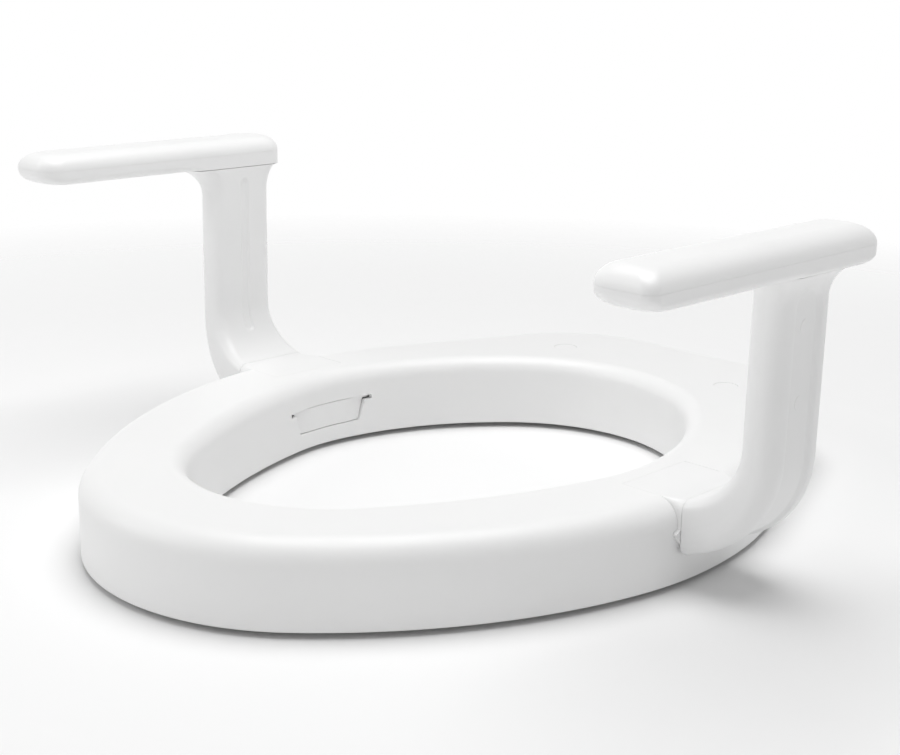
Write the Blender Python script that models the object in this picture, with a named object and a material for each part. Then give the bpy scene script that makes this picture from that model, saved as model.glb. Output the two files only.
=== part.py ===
"""Raised toilet seat with two plug-in arms, as separate pieces.

Units are metres, +Z is up, the user faces -Y.
The origin is under the middle of the seat, on the plane that the bumpers rest on.
"""
import math

import bmesh
import bpy
from mathutils import Vector

# ---------------------------------------------------------------- seat ring
RING_HALF_WIDTH = 0.185
RING_FRONT_TIP = -0.2506
RING_UNDERSIDE = 0.0034
RING_TOP = 0.0508
RING_OUTER_EDGE = 0.0140     # radius of the outer top edge
RING_HOLE_EDGE = 0.0107      # radius of the top edge round the hole
HOLE_HALF_WIDTH = 0.1274
HOLE_FRONT_TIP = -0.1881
# Right half of each outline, front tip to rear: tangent arcs as (radius, degrees), straights as (length, 0).
RING_RUNS = (
    (0.1291, 44.1),
    (0.3200, 34.7),
    (0.2160, 11.7),
    (0.2810, 21.5),
    (0.1025, 0.0),
    (0.0888, 68.0),
    (0.0440, 0.0),
)
HOLE_RUNS = (
    (0.0843, 56.1),
    (0.3734, 21.2),
    (0.1241, 17.3),
    (0.1884, 40.6),
    (0.1022, 44.8),
)
RING_STATIONS = 72           # sections round the whole ring
WALL = 0.0030
GAP = 0.0003                 # between pieces that touch
SLIDE_GAP = 0.0004           # round the sliding foot

# ---------------------------------------------------------------- base
PLATE_LOW = RING_UNDERSIDE + 0.0004
PLATE_THICK = 0.0025
PLATE_TOP = PLATE_LOW + PLATE_THICK
BUMPER_RADIUS = 0.0120
BUMPER_STEM = 0.0030
BUMPER_CHAMFER = 0.0010
BUMPER_STEM_TOP = 0.0110
BUMPER_PLACES = (0.20, 0.76)             # fractions of the half outline, front to rear
BASE_SCREW_PLACES = (0.08, 0.32, 0.64, 0.95)
BOSS_RADIUS = 0.0042
SCREW_RADIUS = 0.0015
SCREW_CLEARANCE = 0.0021
SCREW_HEAD_RADIUS = 0.0034
SCREW_HEAD_HEIGHT = 0.0016
SCREW_LENGTH = 0.0145
PILOT_SPARE = 0.0010         # a pilot hole runs on past its screw's tip
BOLT_X = 0.070
BOLT_Y = 0.183
BOLT_BORE = 0.0045
SLEEVE_RADIUS = 0.0070
CAP_RADIUS = 0.0080
CAP_PLUG = 0.0080            # length of the plug inside the sleeve
CAP_CHAMFER = 0.0004

# ---------------------------------------------------------------- arm
ARM_Y = 0.0030               # centre of the upright, front to rear
ARM_WALL = 0.0025
POST_INNER = 0.2136          # inner face of the upright
POST_OUTER = 0.2358
POST_HALF_WIDTH = 0.0247
POST_CORNER = 0.0100
FOOT_HALF_WIDTH = 0.0285
FOOT_CORNER = 0.0060
ELBOW_INNER_RADIUS = 0.0340
ELBOW_OUTER_RADIUS = 0.0615
FOOT_BOTTOM = 0.0190         # lowest point of the elbow's outer curve
FOOT_START_ANGLE = math.radians(11.5)
ELBOW_STEPS = 8
FLARE_HEIGHT = 0.0180        # the upright widens into the armrest
FLARE_FRONT = 0.0210
FLARE_REAR = 0.0130
FLARE_OUTER = 0.0140
FLARE_CORNER = 0.0150
FLARE_STEPS = 5
CORE_HALF_WIDTH = 0.0150
CORE_HALF_THICK = 0.0030
CORE_INSERT = 0.0040         # from the block's inboard face to the bar's end
CORE_SLOT_RISE = 0.0014      # room above the bar where it starts to bend upwards
PEG_HEIGHTS = (0.110, 0.150)             # locating pegs of the outer shell, through the bar
PEG_RADIUS = 0.0024
PEG_LENGTH = 0.0110
PEG_SOCKET_FLOOR = 0.0030    # from the inner face to the bottom of a peg's socket

# ---------------------------------------------------------------- foot block and its socket
TONGUE_INBOARD = 0.1395
TONGUE_PLATE_INBOARD = 0.1460
TONGUE_BOTTOM = 0.0181
TONGUE_BOTTOM_HALF = 0.0200
LEDGE_HEIGHT = 0.0324
LEDGE_HALF = 0.0320
LEDGE_LIP = 0.0008
LEDGE_SLOPE = 0.0020
NOSE_TOP = 0.0440
NOSE_ROOT = 0.0040           # the nose runs this far into the block
SOCKET_INBOARD = 0.1350
SOCKET_OUTBOARD = 0.1725
SOCKET_HALF = 0.0370
SOCKET_BOTTOM = 0.0145
SOCKET_TOP = 0.0420
FLANGE_HALF = 0.0510
FLANGE_THICK = 0.0030
SOCKET_SCREW_X = 0.1580
SOCKET_SCREW_OFFSET = 0.0440
TONGUE_SCREWS_X = (0.1570, 0.1740)
TONGUE_BOLT = 0.0020
TONGUE_HEAD = 0.0036
TONGUE_HEAD_HEIGHT = 0.0022
TONGUE_COUNTERBORE = 0.0040

# ---------------------------------------------------------------- release tab
TAB_FACE = 0.1279
TAB_THICK = 0.0030
TAB_BOTTOM = 0.0149
TAB_BOTTOM_HALF = 0.0265
TAB_SHOULDER = 0.0289
TAB_SHOULDER_HALF = 0.0308
TAB_TOP = 0.0312
TAB_EAR_HALF = 0.0360
TAB_HINGE_X = TAB_FACE + 0.5 * TAB_THICK
TAB_RIB = 0.0030
TAB_RIB_HALF_WIDTH = 0.0120
TAB_WINDOW_DEPTH = 0.0045    # the window is cut this far into the hole's wall

# ---------------------------------------------------------------- armrest
REST_INNER = POST_INNER      # flush with the upright
REST_OUTER = 0.2525
REST_FRONT = -0.1515
REST_REAR = 0.0408
REST_BOTTOM = 0.1820
REST_TOP = 0.2010
REST_PARTING = 0.1908
# Plan corners at the widest level: rear outer, rear inner, front inner, front outer.
REST_CORNERS = (0.0090, 0.0150, 0.0140, 0.0070)
REST_TOP_CORNER = 0.0070     # all plan corners where the side meets the flat top
REST_UPPER_WIDTH = 0.0120    # the upper edge is a quarter ellipse
REST_UPPER_HEIGHT = 0.0100
REST_LOWER_SIDE = 0.0045     # radius of the lower edge along the sides, and under the front end
REST_LOWER_FRONT = 0.0085
REST_LOWER_LEAST = 0.0003    # where the upright runs into it
REST_FRONT_BLEND = 0.0120    # the lower radius changes over this length
REST_WALL = 0.0025
REST_SIDE_STEPS = 10         # stretches along each long side
BRACKET_THICK = 0.0030
BRACKET_WIDTH = 0.0200
BRACKET_OFFSET = 0.0060      # the bracket's inboard edge, inboard of the bar's middle
BRACKET_MARGIN = 0.0070      # beyond the outermost screws
REST_SCREWS_Y = (-0.128, -0.060, 0.021)
REST_SCREW_OFFSET = 0.0095   # outboard of the bar's middle

SMALL_SCREW = (SCREW_RADIUS, SCREW_HEAD_RADIUS, SCREW_HEAD_HEIGHT)
FOOT_SCREW = (TONGUE_BOLT, TONGUE_HEAD, TONGUE_HEAD_HEIGHT)
ROUND_SIDES = 10
PAN_CROWN = 0.7              # of a screw head's radius: the flat on its crown
PAN_EDGE = 0.4               # of a screw head's height: its straight edge

COLOURS = {
    "seat_plastic": ((0.905, 0.905, 0.900), 0.34, 0.0),
    "arm_plastic": ((0.900, 0.900, 0.895), 0.32, 0.0),
    "base_plastic": ((0.820, 0.820, 0.810), 0.50, 0.0),
    "socket_plastic": ((0.780, 0.780, 0.770), 0.50, 0.0),
    "rubber": ((0.250, 0.250, 0.250), 0.80, 0.0),
    "steel": ((0.560, 0.570, 0.580), 0.35, 1.0),
    "screw_steel": ((0.700, 0.700, 0.710), 0.28, 1.0),
}


# ================================================================ helpers
def clear_objects():
    for item in list(bpy.data.objects):
        bpy.data.objects.remove(item, do_unlink=True)


def material(name):
    found = bpy.data.materials.get(name)
    if found:
        return found
    colour, roughness, metallic = COLOURS[name]
    made = bpy.data.materials.new(name)
    made.use_nodes = True
    shader = made.node_tree.nodes["Principled BSDF"]
    shader.inputs["Base Color"].default_value = (*colour, 1.0)
    shader.inputs["Roughness"].default_value = roughness
    shader.inputs["Metallic"].default_value = metallic
    return made


def object_from(name, bm, slot, parent=None):
    """Turn a bmesh in world coordinates into a named, smooth-shaded object."""
    bmesh.ops.recalc_face_normals(bm, faces=bm.faces)
    offset = parent.location if parent else Vector()
    bmesh.ops.translate(bm, verts=bm.verts, vec=-offset)
    mesh = bpy.data.meshes.new(name)
    bm.to_mesh(mesh)
    bm.free()
    mesh.shade_smooth()
    mesh.set_sharp_from_angle(angle=math.radians(35))
    mesh.materials.append(material(slot))
    made = bpy.data.objects.new(name, mesh)
    made.parent = parent
    bpy.context.collection.objects.link(made)
    return made


def cutter_from(name, bm):
    made = object_from(name, bm, "base_plastic")
    made.hide_render = True
    made.display_type = "WIRE"
    return made


def boolean(target, other, operation):
    step = target.modifiers.new(other.name, "BOOLEAN")
    step.operation = operation
    step.solver = "EXACT"
    step.object = other


def add_loft(bm, loops, close_ends, ring=False):
    """Skin a list of point loops of equal length; a ring joins its last loop to its first."""
    rows = [[bm.verts.new(point) for point in loop] for loop in loops]
    count = len(rows[0])
    pairs = list(zip(rows, rows[1:] + rows[:1])) if ring else list(zip(rows, rows[1:]))
    for low, high in pairs:
        for i in range(count):
            j = (i + 1) % count
            bm.faces.new((low[i], low[j], high[j], high[i]))
    if close_ends:
        close_ends(bm, rows[0])
        close_ends(bm, rows[-1])


def face_end(bm, row):
    """Close an end with one flat face."""
    bm.faces.new(row)


def strip_end(bm, row):
    """Close the end of a channel, whose loop runs out along one skin and back along the other."""
    half = len(row) // 2
    for i in range(half - 1):
        bm.faces.new((row[i], row[i + 1], row[-2 - i], row[-1 - i]))


def circle(x, y, z, radius, sides=ROUND_SIDES):
    turn = 2.0 * math.pi / sides
    return [(x + radius * math.cos(turn * i), y + radius * math.sin(turn * i), z) for i in range(sides)]


def add_upright_post(bm, x, y, steps):
    """A turned solid about a vertical line: steps are (z, radius) from the bottom up."""
    add_loft(bm, [circle(x, y, z, radius) for z, radius in steps], face_end)


def add_prism(bm, outline, x_low, x_high):
    """Extrude a (y, z) outline along X."""
    loops = [[(x, y, z) for y, z in outline] for x in (x_low, x_high)]
    add_loft(bm, loops, face_end)


def smoothstep(share):
    return share * share * (3.0 - 2.0 * share)


def mirrored(points, side):
    """Swap a point list to the left side of the seat (side = -1) or keep it (side = 1)."""
    return [(side * x, y, z) for x, y, z in points]


def side_name(side):
    return "left" if side < 0 else "right"


# ================================================================ seat outlines
def arc(centre, radius, start, end, count):
    points = []
    for i in range(count + 1):
        turn = start + (end - start) * i / count
        points.append((centre[0] + radius * math.cos(turn), centre[1] + radius * math.sin(turn)))
    return points


def half_outline(front_tip, runs):
    """Points from the front tip, heading +X, along tangent arcs and straights, to the middle of the rear."""
    points = [(0.0, front_tip)]
    heading = 0.0
    for size, degrees in runs:
        x, y = points[-1]
        if degrees:
            turn = math.radians(degrees)
            centre = (x - size * math.sin(heading), y + size * math.cos(heading))
            start = heading - 0.5 * math.pi
            points += arc(centre, size, start, start + turn, 60)[1:]
            heading += turn
        else:
            points.append((x + size * math.cos(heading), y + size * math.sin(heading)))
    points[-1] = (0.0, points[-1][1])
    return points


def ring_half_outline():
    return half_outline(RING_FRONT_TIP, RING_RUNS)


def hole_half_outline():
    return half_outline(HOLE_FRONT_TIP, HOLE_RUNS)


def evenly_spaced(points, count):
    """Points and outward normals at equal distances along a half outline, ends included."""
    travelled = [0.0]
    for (x0, y0), (x1, y1) in zip(points, points[1:]):
        travelled.append(travelled[-1] + math.hypot(x1 - x0, y1 - y0))
    result = []
    index = 0
    for i in range(count + 1):
        goal = travelled[-1] * i / count
        while index < len(points) - 2 and travelled[index + 1] < goal:
            index += 1
        low = Vector(points[index])
        high = Vector(points[index + 1])
        share = (goal - travelled[index]) / (travelled[index + 1] - travelled[index])
        along = (high - low).normalized()
        normal = Vector((along.y, -along.x))
        if i in (0, count):
            normal = Vector((0.0, -1.0 if i == 0 else 1.0))
        result.append((low.lerp(high, share), normal))
    return result


def whole_outline(half_outline, stations):
    """Points and outward normals round the whole outline."""
    half = evenly_spaced(half_outline, stations // 2)
    other = [(Vector((-p.x, p.y)), Vector((-n.x, n.y))) for p, n in reversed(half[1:-1])]
    return half + other


def band_middle(fraction):
    """Middle of the ring's band at a fraction of its half length, on the right side."""
    steps = 100
    outer = evenly_spaced(ring_half_outline(), steps)[round(fraction * steps)][0]
    hole = evenly_spaced(hole_half_outline(), steps)[round(fraction * steps)][0]
    return outer.lerp(hole, 0.5)


# ================================================================ seat pieces
def edge_arc(point, normal, radius, inset, top, steps, rising):
    """Quarter round between a wall and the top face, as (x, y, z) points."""
    points = []
    centre = point - normal * radius
    for i in range(steps + 1):
        turn = 0.5 * math.pi * i / steps
        if not rising:
            turn = 0.5 * math.pi - turn
        reach = (radius - inset) * math.cos(turn)
        height = (radius - inset) * math.sin(turn)
        place = centre + normal * reach
        points.append((place.x, place.y, top - radius + height))
    return points


def shell_section(outer, outer_normal, hole, hole_normal):
    """Closed section of the top moulding: outer skin across, then back along the cavity."""
    wall_foot = outer - outer_normal * WALL
    hole_foot = hole - hole_normal * WALL
    section = [(outer.x, outer.y, RING_UNDERSIDE)]
    section += edge_arc(outer, outer_normal, RING_OUTER_EDGE, 0.0, RING_TOP, 4, True)
    section += edge_arc(hole, hole_normal, RING_HOLE_EDGE, 0.0, RING_TOP, 3, False)
    section.append((hole.x, hole.y, RING_UNDERSIDE))
    section.append((hole_foot.x, hole_foot.y, RING_UNDERSIDE))
    section += edge_arc(hole, hole_normal, RING_HOLE_EDGE, WALL, RING_TOP, 2, True)
    section += edge_arc(outer, outer_normal, RING_OUTER_EDGE, WALL, RING_TOP, 2, False)
    section.append((wall_foot.x, wall_foot.y, RING_UNDERSIDE))
    return section


def seat_outlines():
    outer = whole_outline(ring_half_outline(), RING_STATIONS)
    hole = whole_outline(hole_half_outline(), RING_STATIONS)
    return [(p, n, q, -m) for (p, n), (q, m) in zip(outer, hole)]


def base_screw_places():
    places = []
    for fraction in BASE_SCREW_PLACES:
        middle = band_middle(fraction)
        places += [(side * middle.x, middle.y) for side in (-1, 1)]
    return places


def bumper_places():
    places = []
    for fraction, row in zip(BUMPER_PLACES, ("front", "rear")):
        middle = band_middle(fraction)
        places += [(f"bumper_{row}_{side_name(side)}", side * middle.x, middle.y) for side in (-1, 1)]
    return places


def socket_screw_places():
    places = []
    for side in (-1, 1):
        for end in (-1, 1):
            places.append((side, end, side * SOCKET_SCREW_X, ARM_Y + end * SOCKET_SCREW_OFFSET))
    return places


def boss_object():
    """Screw bosses that hang from the shell's top skin."""
    bm = bmesh.new()
    root = RING_TOP - 0.5 * WALL
    for x, y in base_screw_places():
        add_upright_post(bm, x, y, [(PLATE_TOP + GAP, BOSS_RADIUS), (root, BOSS_RADIUS)])
    flange_top = SOCKET_BOTTOM + FLANGE_THICK
    for _, _, x, y in socket_screw_places():
        add_upright_post(bm, x, y, [(flange_top + GAP, BOSS_RADIUS), (root, BOSS_RADIUS)])
    return cutter_from("shell_bosses", bm)


def pilot_object():
    """Screw holes in the bosses, and the two cap holes in the top skin."""
    bm = bmesh.new()
    pilot = SCREW_RADIUS + GAP
    for x, y in base_screw_places():
        add_upright_post(bm, x, y, [(0.0, pilot), (PLATE_LOW + SCREW_LENGTH + PILOT_SPARE, pilot)])
    for _, _, x, y in socket_screw_places():
        steps = [(SOCKET_BOTTOM, pilot), (SOCKET_BOTTOM + SCREW_LENGTH + PILOT_SPARE, pilot)]
        add_upright_post(bm, x, y, steps)
    for side in (-1, 1):
        cap_hole = CAP_RADIUS + GAP
        steps = [(RING_TOP - 2.0 * WALL, cap_hole), (RING_TOP + WALL, cap_hole)]
        add_upright_post(bm, side * BOLT_X, BOLT_Y, steps)
    return cutter_from("shell_holes", bm)


def foot_outline(spread, top):
    """(y, z) section of the foot block: an inverted trapezoid with a ledge, then a straight top."""
    right = [
        (TONGUE_BOTTOM_HALF + spread, TONGUE_BOTTOM - spread),
        (LEDGE_HALF + spread, LEDGE_HEIGHT - spread),
        (LEDGE_HALF + spread, LEDGE_HEIGHT + LEDGE_LIP + spread),
        (FOOT_HALF_WIDTH + spread, LEDGE_HEIGHT + LEDGE_LIP + LEDGE_SLOPE + spread),
        (FOOT_HALF_WIDTH + spread, top),
    ]
    left = [(-y, z) for y, z in reversed(right)]
    return [(ARM_Y + y, z) for y, z in right + left]


def tab_outline(spread):
    """(y, z) section of the release tab: a trapezoid that hangs from two short ears."""
    right = [
        (TAB_BOTTOM_HALF + spread, TAB_BOTTOM - spread),
        (TAB_SHOULDER_HALF + spread, TAB_SHOULDER - spread),
        (TAB_EAR_HALF + spread, TAB_SHOULDER - spread),
        (TAB_EAR_HALF + spread, TAB_TOP + spread),
    ]
    left = [(-y, z) for y, z in reversed(right)]
    return [(ARM_Y + y, z) for y, z in right + left]


def pocket_object(side):
    """Room for the foot block in the shell's side, and the release tab's window in its inner wall."""
    bm = bmesh.new()
    pocket = foot_outline(SLIDE_GAP, RING_TOP + WALL)
    add_prism(bm, pocket, side * (TONGUE_PLATE_INBOARD - SLIDE_GAP), side * (RING_HALF_WIDTH + WALL))
    window = tab_outline(GAP)
    add_prism(bm, window, side * (HOLE_HALF_WIDTH - WALL), side * (HOLE_HALF_WIDTH + TAB_WINDOW_DEPTH))
    return cutter_from(f"pocket_{side_name(side)}", bm)


def make_seat_shell():
    bm = bmesh.new()
    loops = [shell_section(*station) for station in seat_outlines()]
    add_loft(bm, loops, None, ring=True)
    shell = object_from("seat_shell", bm, "seat_plastic")
    boolean(shell, boss_object(), "UNION")
    boolean(shell, pilot_object(), "DIFFERENCE")
    for side in (-1, 1):
        boolean(shell, pocket_object(side), "DIFFERENCE")


def make_base_plate():
    bm = bmesh.new()
    loops = []
    inset = WALL + GAP
    for outer, outer_normal, hole, hole_normal in seat_outlines():
        a = outer - outer_normal * inset
        b = hole - hole_normal * inset
        corners = [(a, PLATE_LOW), (a, PLATE_TOP), (b, PLATE_TOP), (b, PLATE_LOW)]
        loops.append([(p.x, p.y, z) for p, z in corners])
    add_loft(bm, loops, None, ring=True)
    plate = object_from("base_plate", bm, "base_plastic")
    holes = bmesh.new()
    for x, y in base_screw_places():
        add_upright_post(holes, x, y, [(0.0, SCREW_CLEARANCE), (2.0 * PLATE_TOP, SCREW_CLEARANCE)])
    for _, x, y in bumper_places():
        stem = BUMPER_STEM + 2.0 * GAP
        add_upright_post(holes, x, y, [(0.0, stem), (2.0 * PLATE_TOP, stem)])
    for side in (-1, 1):
        add_upright_post(holes, side * BOLT_X, BOLT_Y, [(0.0, BOLT_BORE), (2.0 * PLATE_TOP, BOLT_BORE)])
    boolean(plate, cutter_from("plate_holes", holes), "DIFFERENCE")


def make_bumpers():
    pad_top = PLATE_LOW - GAP
    for name, x, y in bumper_places():
        bm = bmesh.new()
        steps = [
            (0.0, BUMPER_RADIUS - BUMPER_CHAMFER),
            (BUMPER_CHAMFER, BUMPER_RADIUS),
            (pad_top, BUMPER_RADIUS),
            (pad_top, BUMPER_STEM),
            (BUMPER_STEM_TOP, BUMPER_STEM),
        ]
        add_upright_post(bm, x, y, steps)
        object_from(name, bm, "rubber")


def add_screw(bm, x, y, seat, length, size=SMALL_SCREW):
    """A pan-head screw driven upwards: seat is the height of the head's bearing face."""
    shank, head, head_height = size
    steps = [
        (seat - head_height, PAN_CROWN * head),
        (seat - PAN_EDGE * head_height, head),
        (seat, head),
        (seat, shank),
        (seat + length, shank),
    ]
    add_upright_post(bm, x, y, steps)


def make_base_screws():
    for number, (x, y) in enumerate(base_screw_places(), 1):
        bm = bmesh.new()
        add_screw(bm, x, y, PLATE_LOW - GAP, SCREW_LENGTH)
        object_from(f"base_screw_{number}", bm, "screw_steel")


def make_bolt_sleeves():
    """Tubes that carry the clamping force of the toilet's own seat bolts, and their caps."""
    for side in (-1, 1):
        bm = bmesh.new()
        low = PLATE_TOP + GAP
        high = RING_TOP - WALL - GAP
        x = side * BOLT_X
        rows = [(low, BOLT_BORE), (low, SLEEVE_RADIUS), (high, SLEEVE_RADIUS), (high, BOLT_BORE)]
        add_loft(bm, [circle(x, BOLT_Y, z, r) for z, r in rows], None, ring=True)
        object_from(f"bolt_sleeve_{side_name(side)}", bm, "socket_plastic")
        cap = bmesh.new()
        plug = BOLT_BORE - 2.0 * GAP
        steps = [(high - CAP_PLUG, plug), (high + 2.0 * GAP, plug), (high + 2.0 * GAP, CAP_RADIUS)]
        steps += [(RING_TOP - CAP_CHAMFER, CAP_RADIUS), (RING_TOP, CAP_RADIUS - CAP_CHAMFER)]
        add_upright_post(cap, x, BOLT_Y, steps)
        object_from(f"bolt_cap_{side_name(side)}", cap, "seat_plastic")


def make_arm_sockets():
    """Trough that carries the foot block and stops its ledges from lifting."""
    for side in (-1, 1):
        name = side_name(side)
        bm = bmesh.new()
        flange_top = SOCKET_BOTTOM + FLANGE_THICK
        right = [(FLANGE_HALF, SOCKET_BOTTOM), (FLANGE_HALF, flange_top), (SOCKET_HALF, flange_top)]
        right.append((SOCKET_HALF, SOCKET_TOP))
        outline = right + [(-y, z) for y, z in reversed(right)]
        outline = [(ARM_Y + y, z) for y, z in outline]
        add_prism(bm, outline, side * SOCKET_INBOARD, side * SOCKET_OUTBOARD)
        socket = object_from(f"arm_socket_{name}", bm, "socket_plastic")
        room = bmesh.new()
        trough = foot_outline(SLIDE_GAP, RING_TOP)
        add_prism(room, trough, side * (SOCKET_INBOARD - WALL), side * (SOCKET_OUTBOARD + WALL))
        for _, _, x, y in socket_screw_places():
            if x * side > 0:
                steps = [(SOCKET_BOTTOM - WALL, SCREW_CLEARANCE), (flange_top + WALL, SCREW_CLEARANCE)]
                add_upright_post(room, x, y, steps)
        boolean(socket, cutter_from(f"socket_room_{name}", room), "DIFFERENCE")


def make_socket_screws():
    for side, end, x, y in socket_screw_places():
        bm = bmesh.new()
        add_screw(bm, x, y, SOCKET_BOTTOM - GAP, SCREW_LENGTH)
        row = "front" if end < 0 else "rear"
        object_from(f"socket_screw_{row}_{side_name(side)}", bm, "screw_steel")


# ================================================================ arm pieces
def elbow_centres():
    inner = Vector((POST_INNER - ELBOW_INNER_RADIUS, RING_TOP + ELBOW_INNER_RADIUS))
    outer = Vector((POST_OUTER - ELBOW_OUTER_RADIUS, FOOT_BOTTOM + ELBOW_OUTER_RADIUS))
    return inner, outer


def arm_stations():
    """Sections from the ring's side up to the armrest.

    Each is (inner x-z point, outer x-z point, front reach, rear reach, corner radius).
    """
    inner_centre, outer_centre = elbow_centres()
    stations = []
    for i in range(ELBOW_STEPS + 1):
        share = i / ELBOW_STEPS
        turn = FOOT_START_ANGLE + (0.5 * math.pi - FOOT_START_ANGLE) * share
        along = Vector((math.sin(turn), -math.cos(turn)))
        reach = FOOT_HALF_WIDTH + (POST_HALF_WIDTH - FOOT_HALF_WIDTH) * share
        corner = FOOT_CORNER + (POST_CORNER - FOOT_CORNER) * share
        inner = inner_centre + along * ELBOW_INNER_RADIUS
        outer = outer_centre + along * ELBOW_OUTER_RADIUS
        stations.append((inner, outer, reach, reach, corner))
    top = REST_BOTTOM - GAP
    for i in range(FLARE_STEPS + 1):
        turn = 0.5 * math.pi * i / FLARE_STEPS
        z = top - FLARE_HEIGHT * (1.0 - math.sin(turn))
        grow = 1.0 - math.cos(turn)
        inner = Vector((POST_INNER, z))
        outer = Vector((POST_OUTER + FLARE_OUTER * grow, z))
        front = POST_HALF_WIDTH + FLARE_FRONT * grow
        rear = POST_HALF_WIDTH + FLARE_REAR * grow
        stations.append((inner, outer, front, rear, POST_CORNER + (FLARE_CORNER - POST_CORNER) * grow))
    return stations


def half_section(station, face, wall):
    """Channel section of one upright shell; face is the station's index of its outer side (0 or 1)."""
    near = station[face]
    far = station[1 - face]
    depth_way = (near - far).normalized()
    half_depth = 0.5 * (near - far).length
    middle = (near + far) * 0.5
    front, rear, corner = station[2:]
    steps = 3
    skin = []
    for sign, reach in ((-1, front), (1, rear)):
        edge = []
        for i in range(steps + 1):
            turn = 0.5 * math.pi * i / steps
            y = sign * (reach - corner + corner * math.cos(turn))
            depth = half_depth - corner + corner * math.sin(turn)
            edge.append((y, depth, turn, sign))
        edge.insert(0, (sign * reach, 0.5 * GAP, 0.0, sign))
        skin += edge if sign < 0 else edge[::-1]
    back = []
    for y, depth, turn, sign in reversed(skin):
        back.append((y - sign * wall * math.cos(turn), max(depth - wall * math.sin(turn), 0.5 * GAP)))
    points = [(y, depth) for y, depth, _, _ in skin] + back
    placed = []
    for y, depth in points:
        place = middle + depth_way * depth
        placed.append((place.x, ARM_Y + y, place.y))
    return placed


def add_cross_post(bm, side, z, steps):
    """A turned solid about a line along X at the upright's centre: steps are (x, radius)."""
    loops = []
    for x, radius in steps:
        loops.append([(side * x, ARM_Y + v, z + w) for v, w, _ in circle(0.0, 0.0, 0.0, radius)])
    add_loft(bm, loops, face_end)


def add_shell_fittings(shell, side, face):
    """Pegs on the outer shell (face 1), which pass through the bar into the inner shell's sockets."""
    middle = 0.5 * (POST_INNER + POST_OUTER)
    clear = CORE_HALF_THICK + GAP
    fittings = bmesh.new()
    if face == 1:
        shoulder = middle + clear
        steps = [(shoulder - PEG_LENGTH, PEG_RADIUS), (shoulder, PEG_RADIUS), (shoulder, BOSS_RADIUS)]
        steps.append((POST_OUTER - 0.5 * ARM_WALL, BOSS_RADIUS))
    else:
        steps = [(POST_INNER + 0.5 * ARM_WALL, BOSS_RADIUS), (middle - clear, BOSS_RADIUS)]
    for z in PEG_HEIGHTS:
        add_cross_post(fittings, side, z, steps)
    boolean(shell, cutter_from(f"{shell.name}_fittings", fittings), "UNION")
    if face == 0:
        bores = bmesh.new()
        for z in PEG_HEIGHTS:
            bore = PEG_RADIUS + GAP
            add_cross_post(bores, side, z, [(POST_INNER + PEG_SOCKET_FLOOR, bore), (middle, bore)])
        boolean(shell, cutter_from(f"{shell.name}_bores", bores), "DIFFERENCE")


def make_upright_shells(side, parent):
    stations = arm_stations()
    for face, label in ((0, "inner"), (1, "outer")):
        bm = bmesh.new()
        loops = [mirrored(half_section(station, face, ARM_WALL), side) for station in stations]
        add_loft(bm, loops, strip_end)
        shell = object_from(f"upright_{label}_shell_{side_name(side)}", bm, "arm_plastic", parent)
        add_shell_fittings(shell, side, face)


def core_path():
    """Middle line of the steel bar in the x-z plane, with the direction across its thickness."""
    inner_centre, outer_centre = elbow_centres()
    centre = (inner_centre + outer_centre) * 0.5
    radius = 0.5 * (ELBOW_INNER_RADIUS + ELBOW_OUTER_RADIUS)
    start = Vector((TONGUE_PLATE_INBOARD + CORE_INSERT, centre.y - radius))
    path = [(start, Vector((0.0, -1.0)))]
    for i in range(ELBOW_STEPS + 1):
        turn = 0.5 * math.pi * i / ELBOW_STEPS
        along = Vector((math.sin(turn), -math.cos(turn)))
        path.append((centre + along * radius, along))
    path.append((Vector((centre.x + radius, REST_PARTING + 2.0 * GAP)), Vector((1.0, 0.0))))
    return path


def make_core(side, parent):
    """Bent steel bar with the armrest's bracket plate on its top end."""
    name = side_name(side)
    bm = bmesh.new()
    loops = []
    for place, across in core_path():
        loop = []
        for y, depth in ((-1, -1), (1, -1), (1, 1), (-1, 1)):
            point = place + across * depth * CORE_HALF_THICK
            loop.append((point.x, ARM_Y + y * CORE_HALF_WIDTH, point.y))
        loops.append(mirrored(loop, side))
    add_loft(bm, loops, face_end)
    core = object_from(f"arm_core_{name}", bm, "steel", parent)
    bar_x = core_path()[-1][0].x
    plate = bmesh.new()
    low = REST_PARTING + GAP
    x_low = bar_x - BRACKET_OFFSET
    outline = [(REST_SCREWS_Y[0] - BRACKET_MARGIN, low), (REST_SCREWS_Y[-1] + BRACKET_MARGIN, low)]
    outline += [(y, low + BRACKET_THICK) for y, _ in reversed(outline)]
    add_prism(plate, outline, side * x_low, side * (x_low + BRACKET_WIDTH))
    boolean(core, cutter_from(f"bracket_{name}", plate), "UNION")
    holes = bmesh.new()
    thread = TONGUE_BOLT + GAP
    for x in TONGUE_SCREWS_X:
        add_upright_post(holes, side * x, ARM_Y, [(TONGUE_BOTTOM, thread), (NOSE_TOP, thread)])
    for z in PEG_HEIGHTS:
        bore = PEG_RADIUS + GAP
        add_cross_post(holes, side, z, [(POST_INNER, bore), (POST_OUTER, bore)])
    for y in REST_SCREWS_Y:
        steps = [(REST_BOTTOM, SCREW_CLEARANCE), (REST_TOP, SCREW_CLEARANCE)]
        add_upright_post(holes, side * rest_screw_x(), y, steps)
    boolean(core, cutter_from(f"core_holes_{name}", holes), "DIFFERENCE")


def block_top(x):
    """The foot block's top: flush with the seat, then rising along the elbow's inner curve."""
    centre = elbow_centres()[0]
    beyond = max(x - centre.x, 0.0)
    return centre.y - math.sqrt(ELBOW_INNER_RADIUS ** 2 - beyond ** 2)


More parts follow.
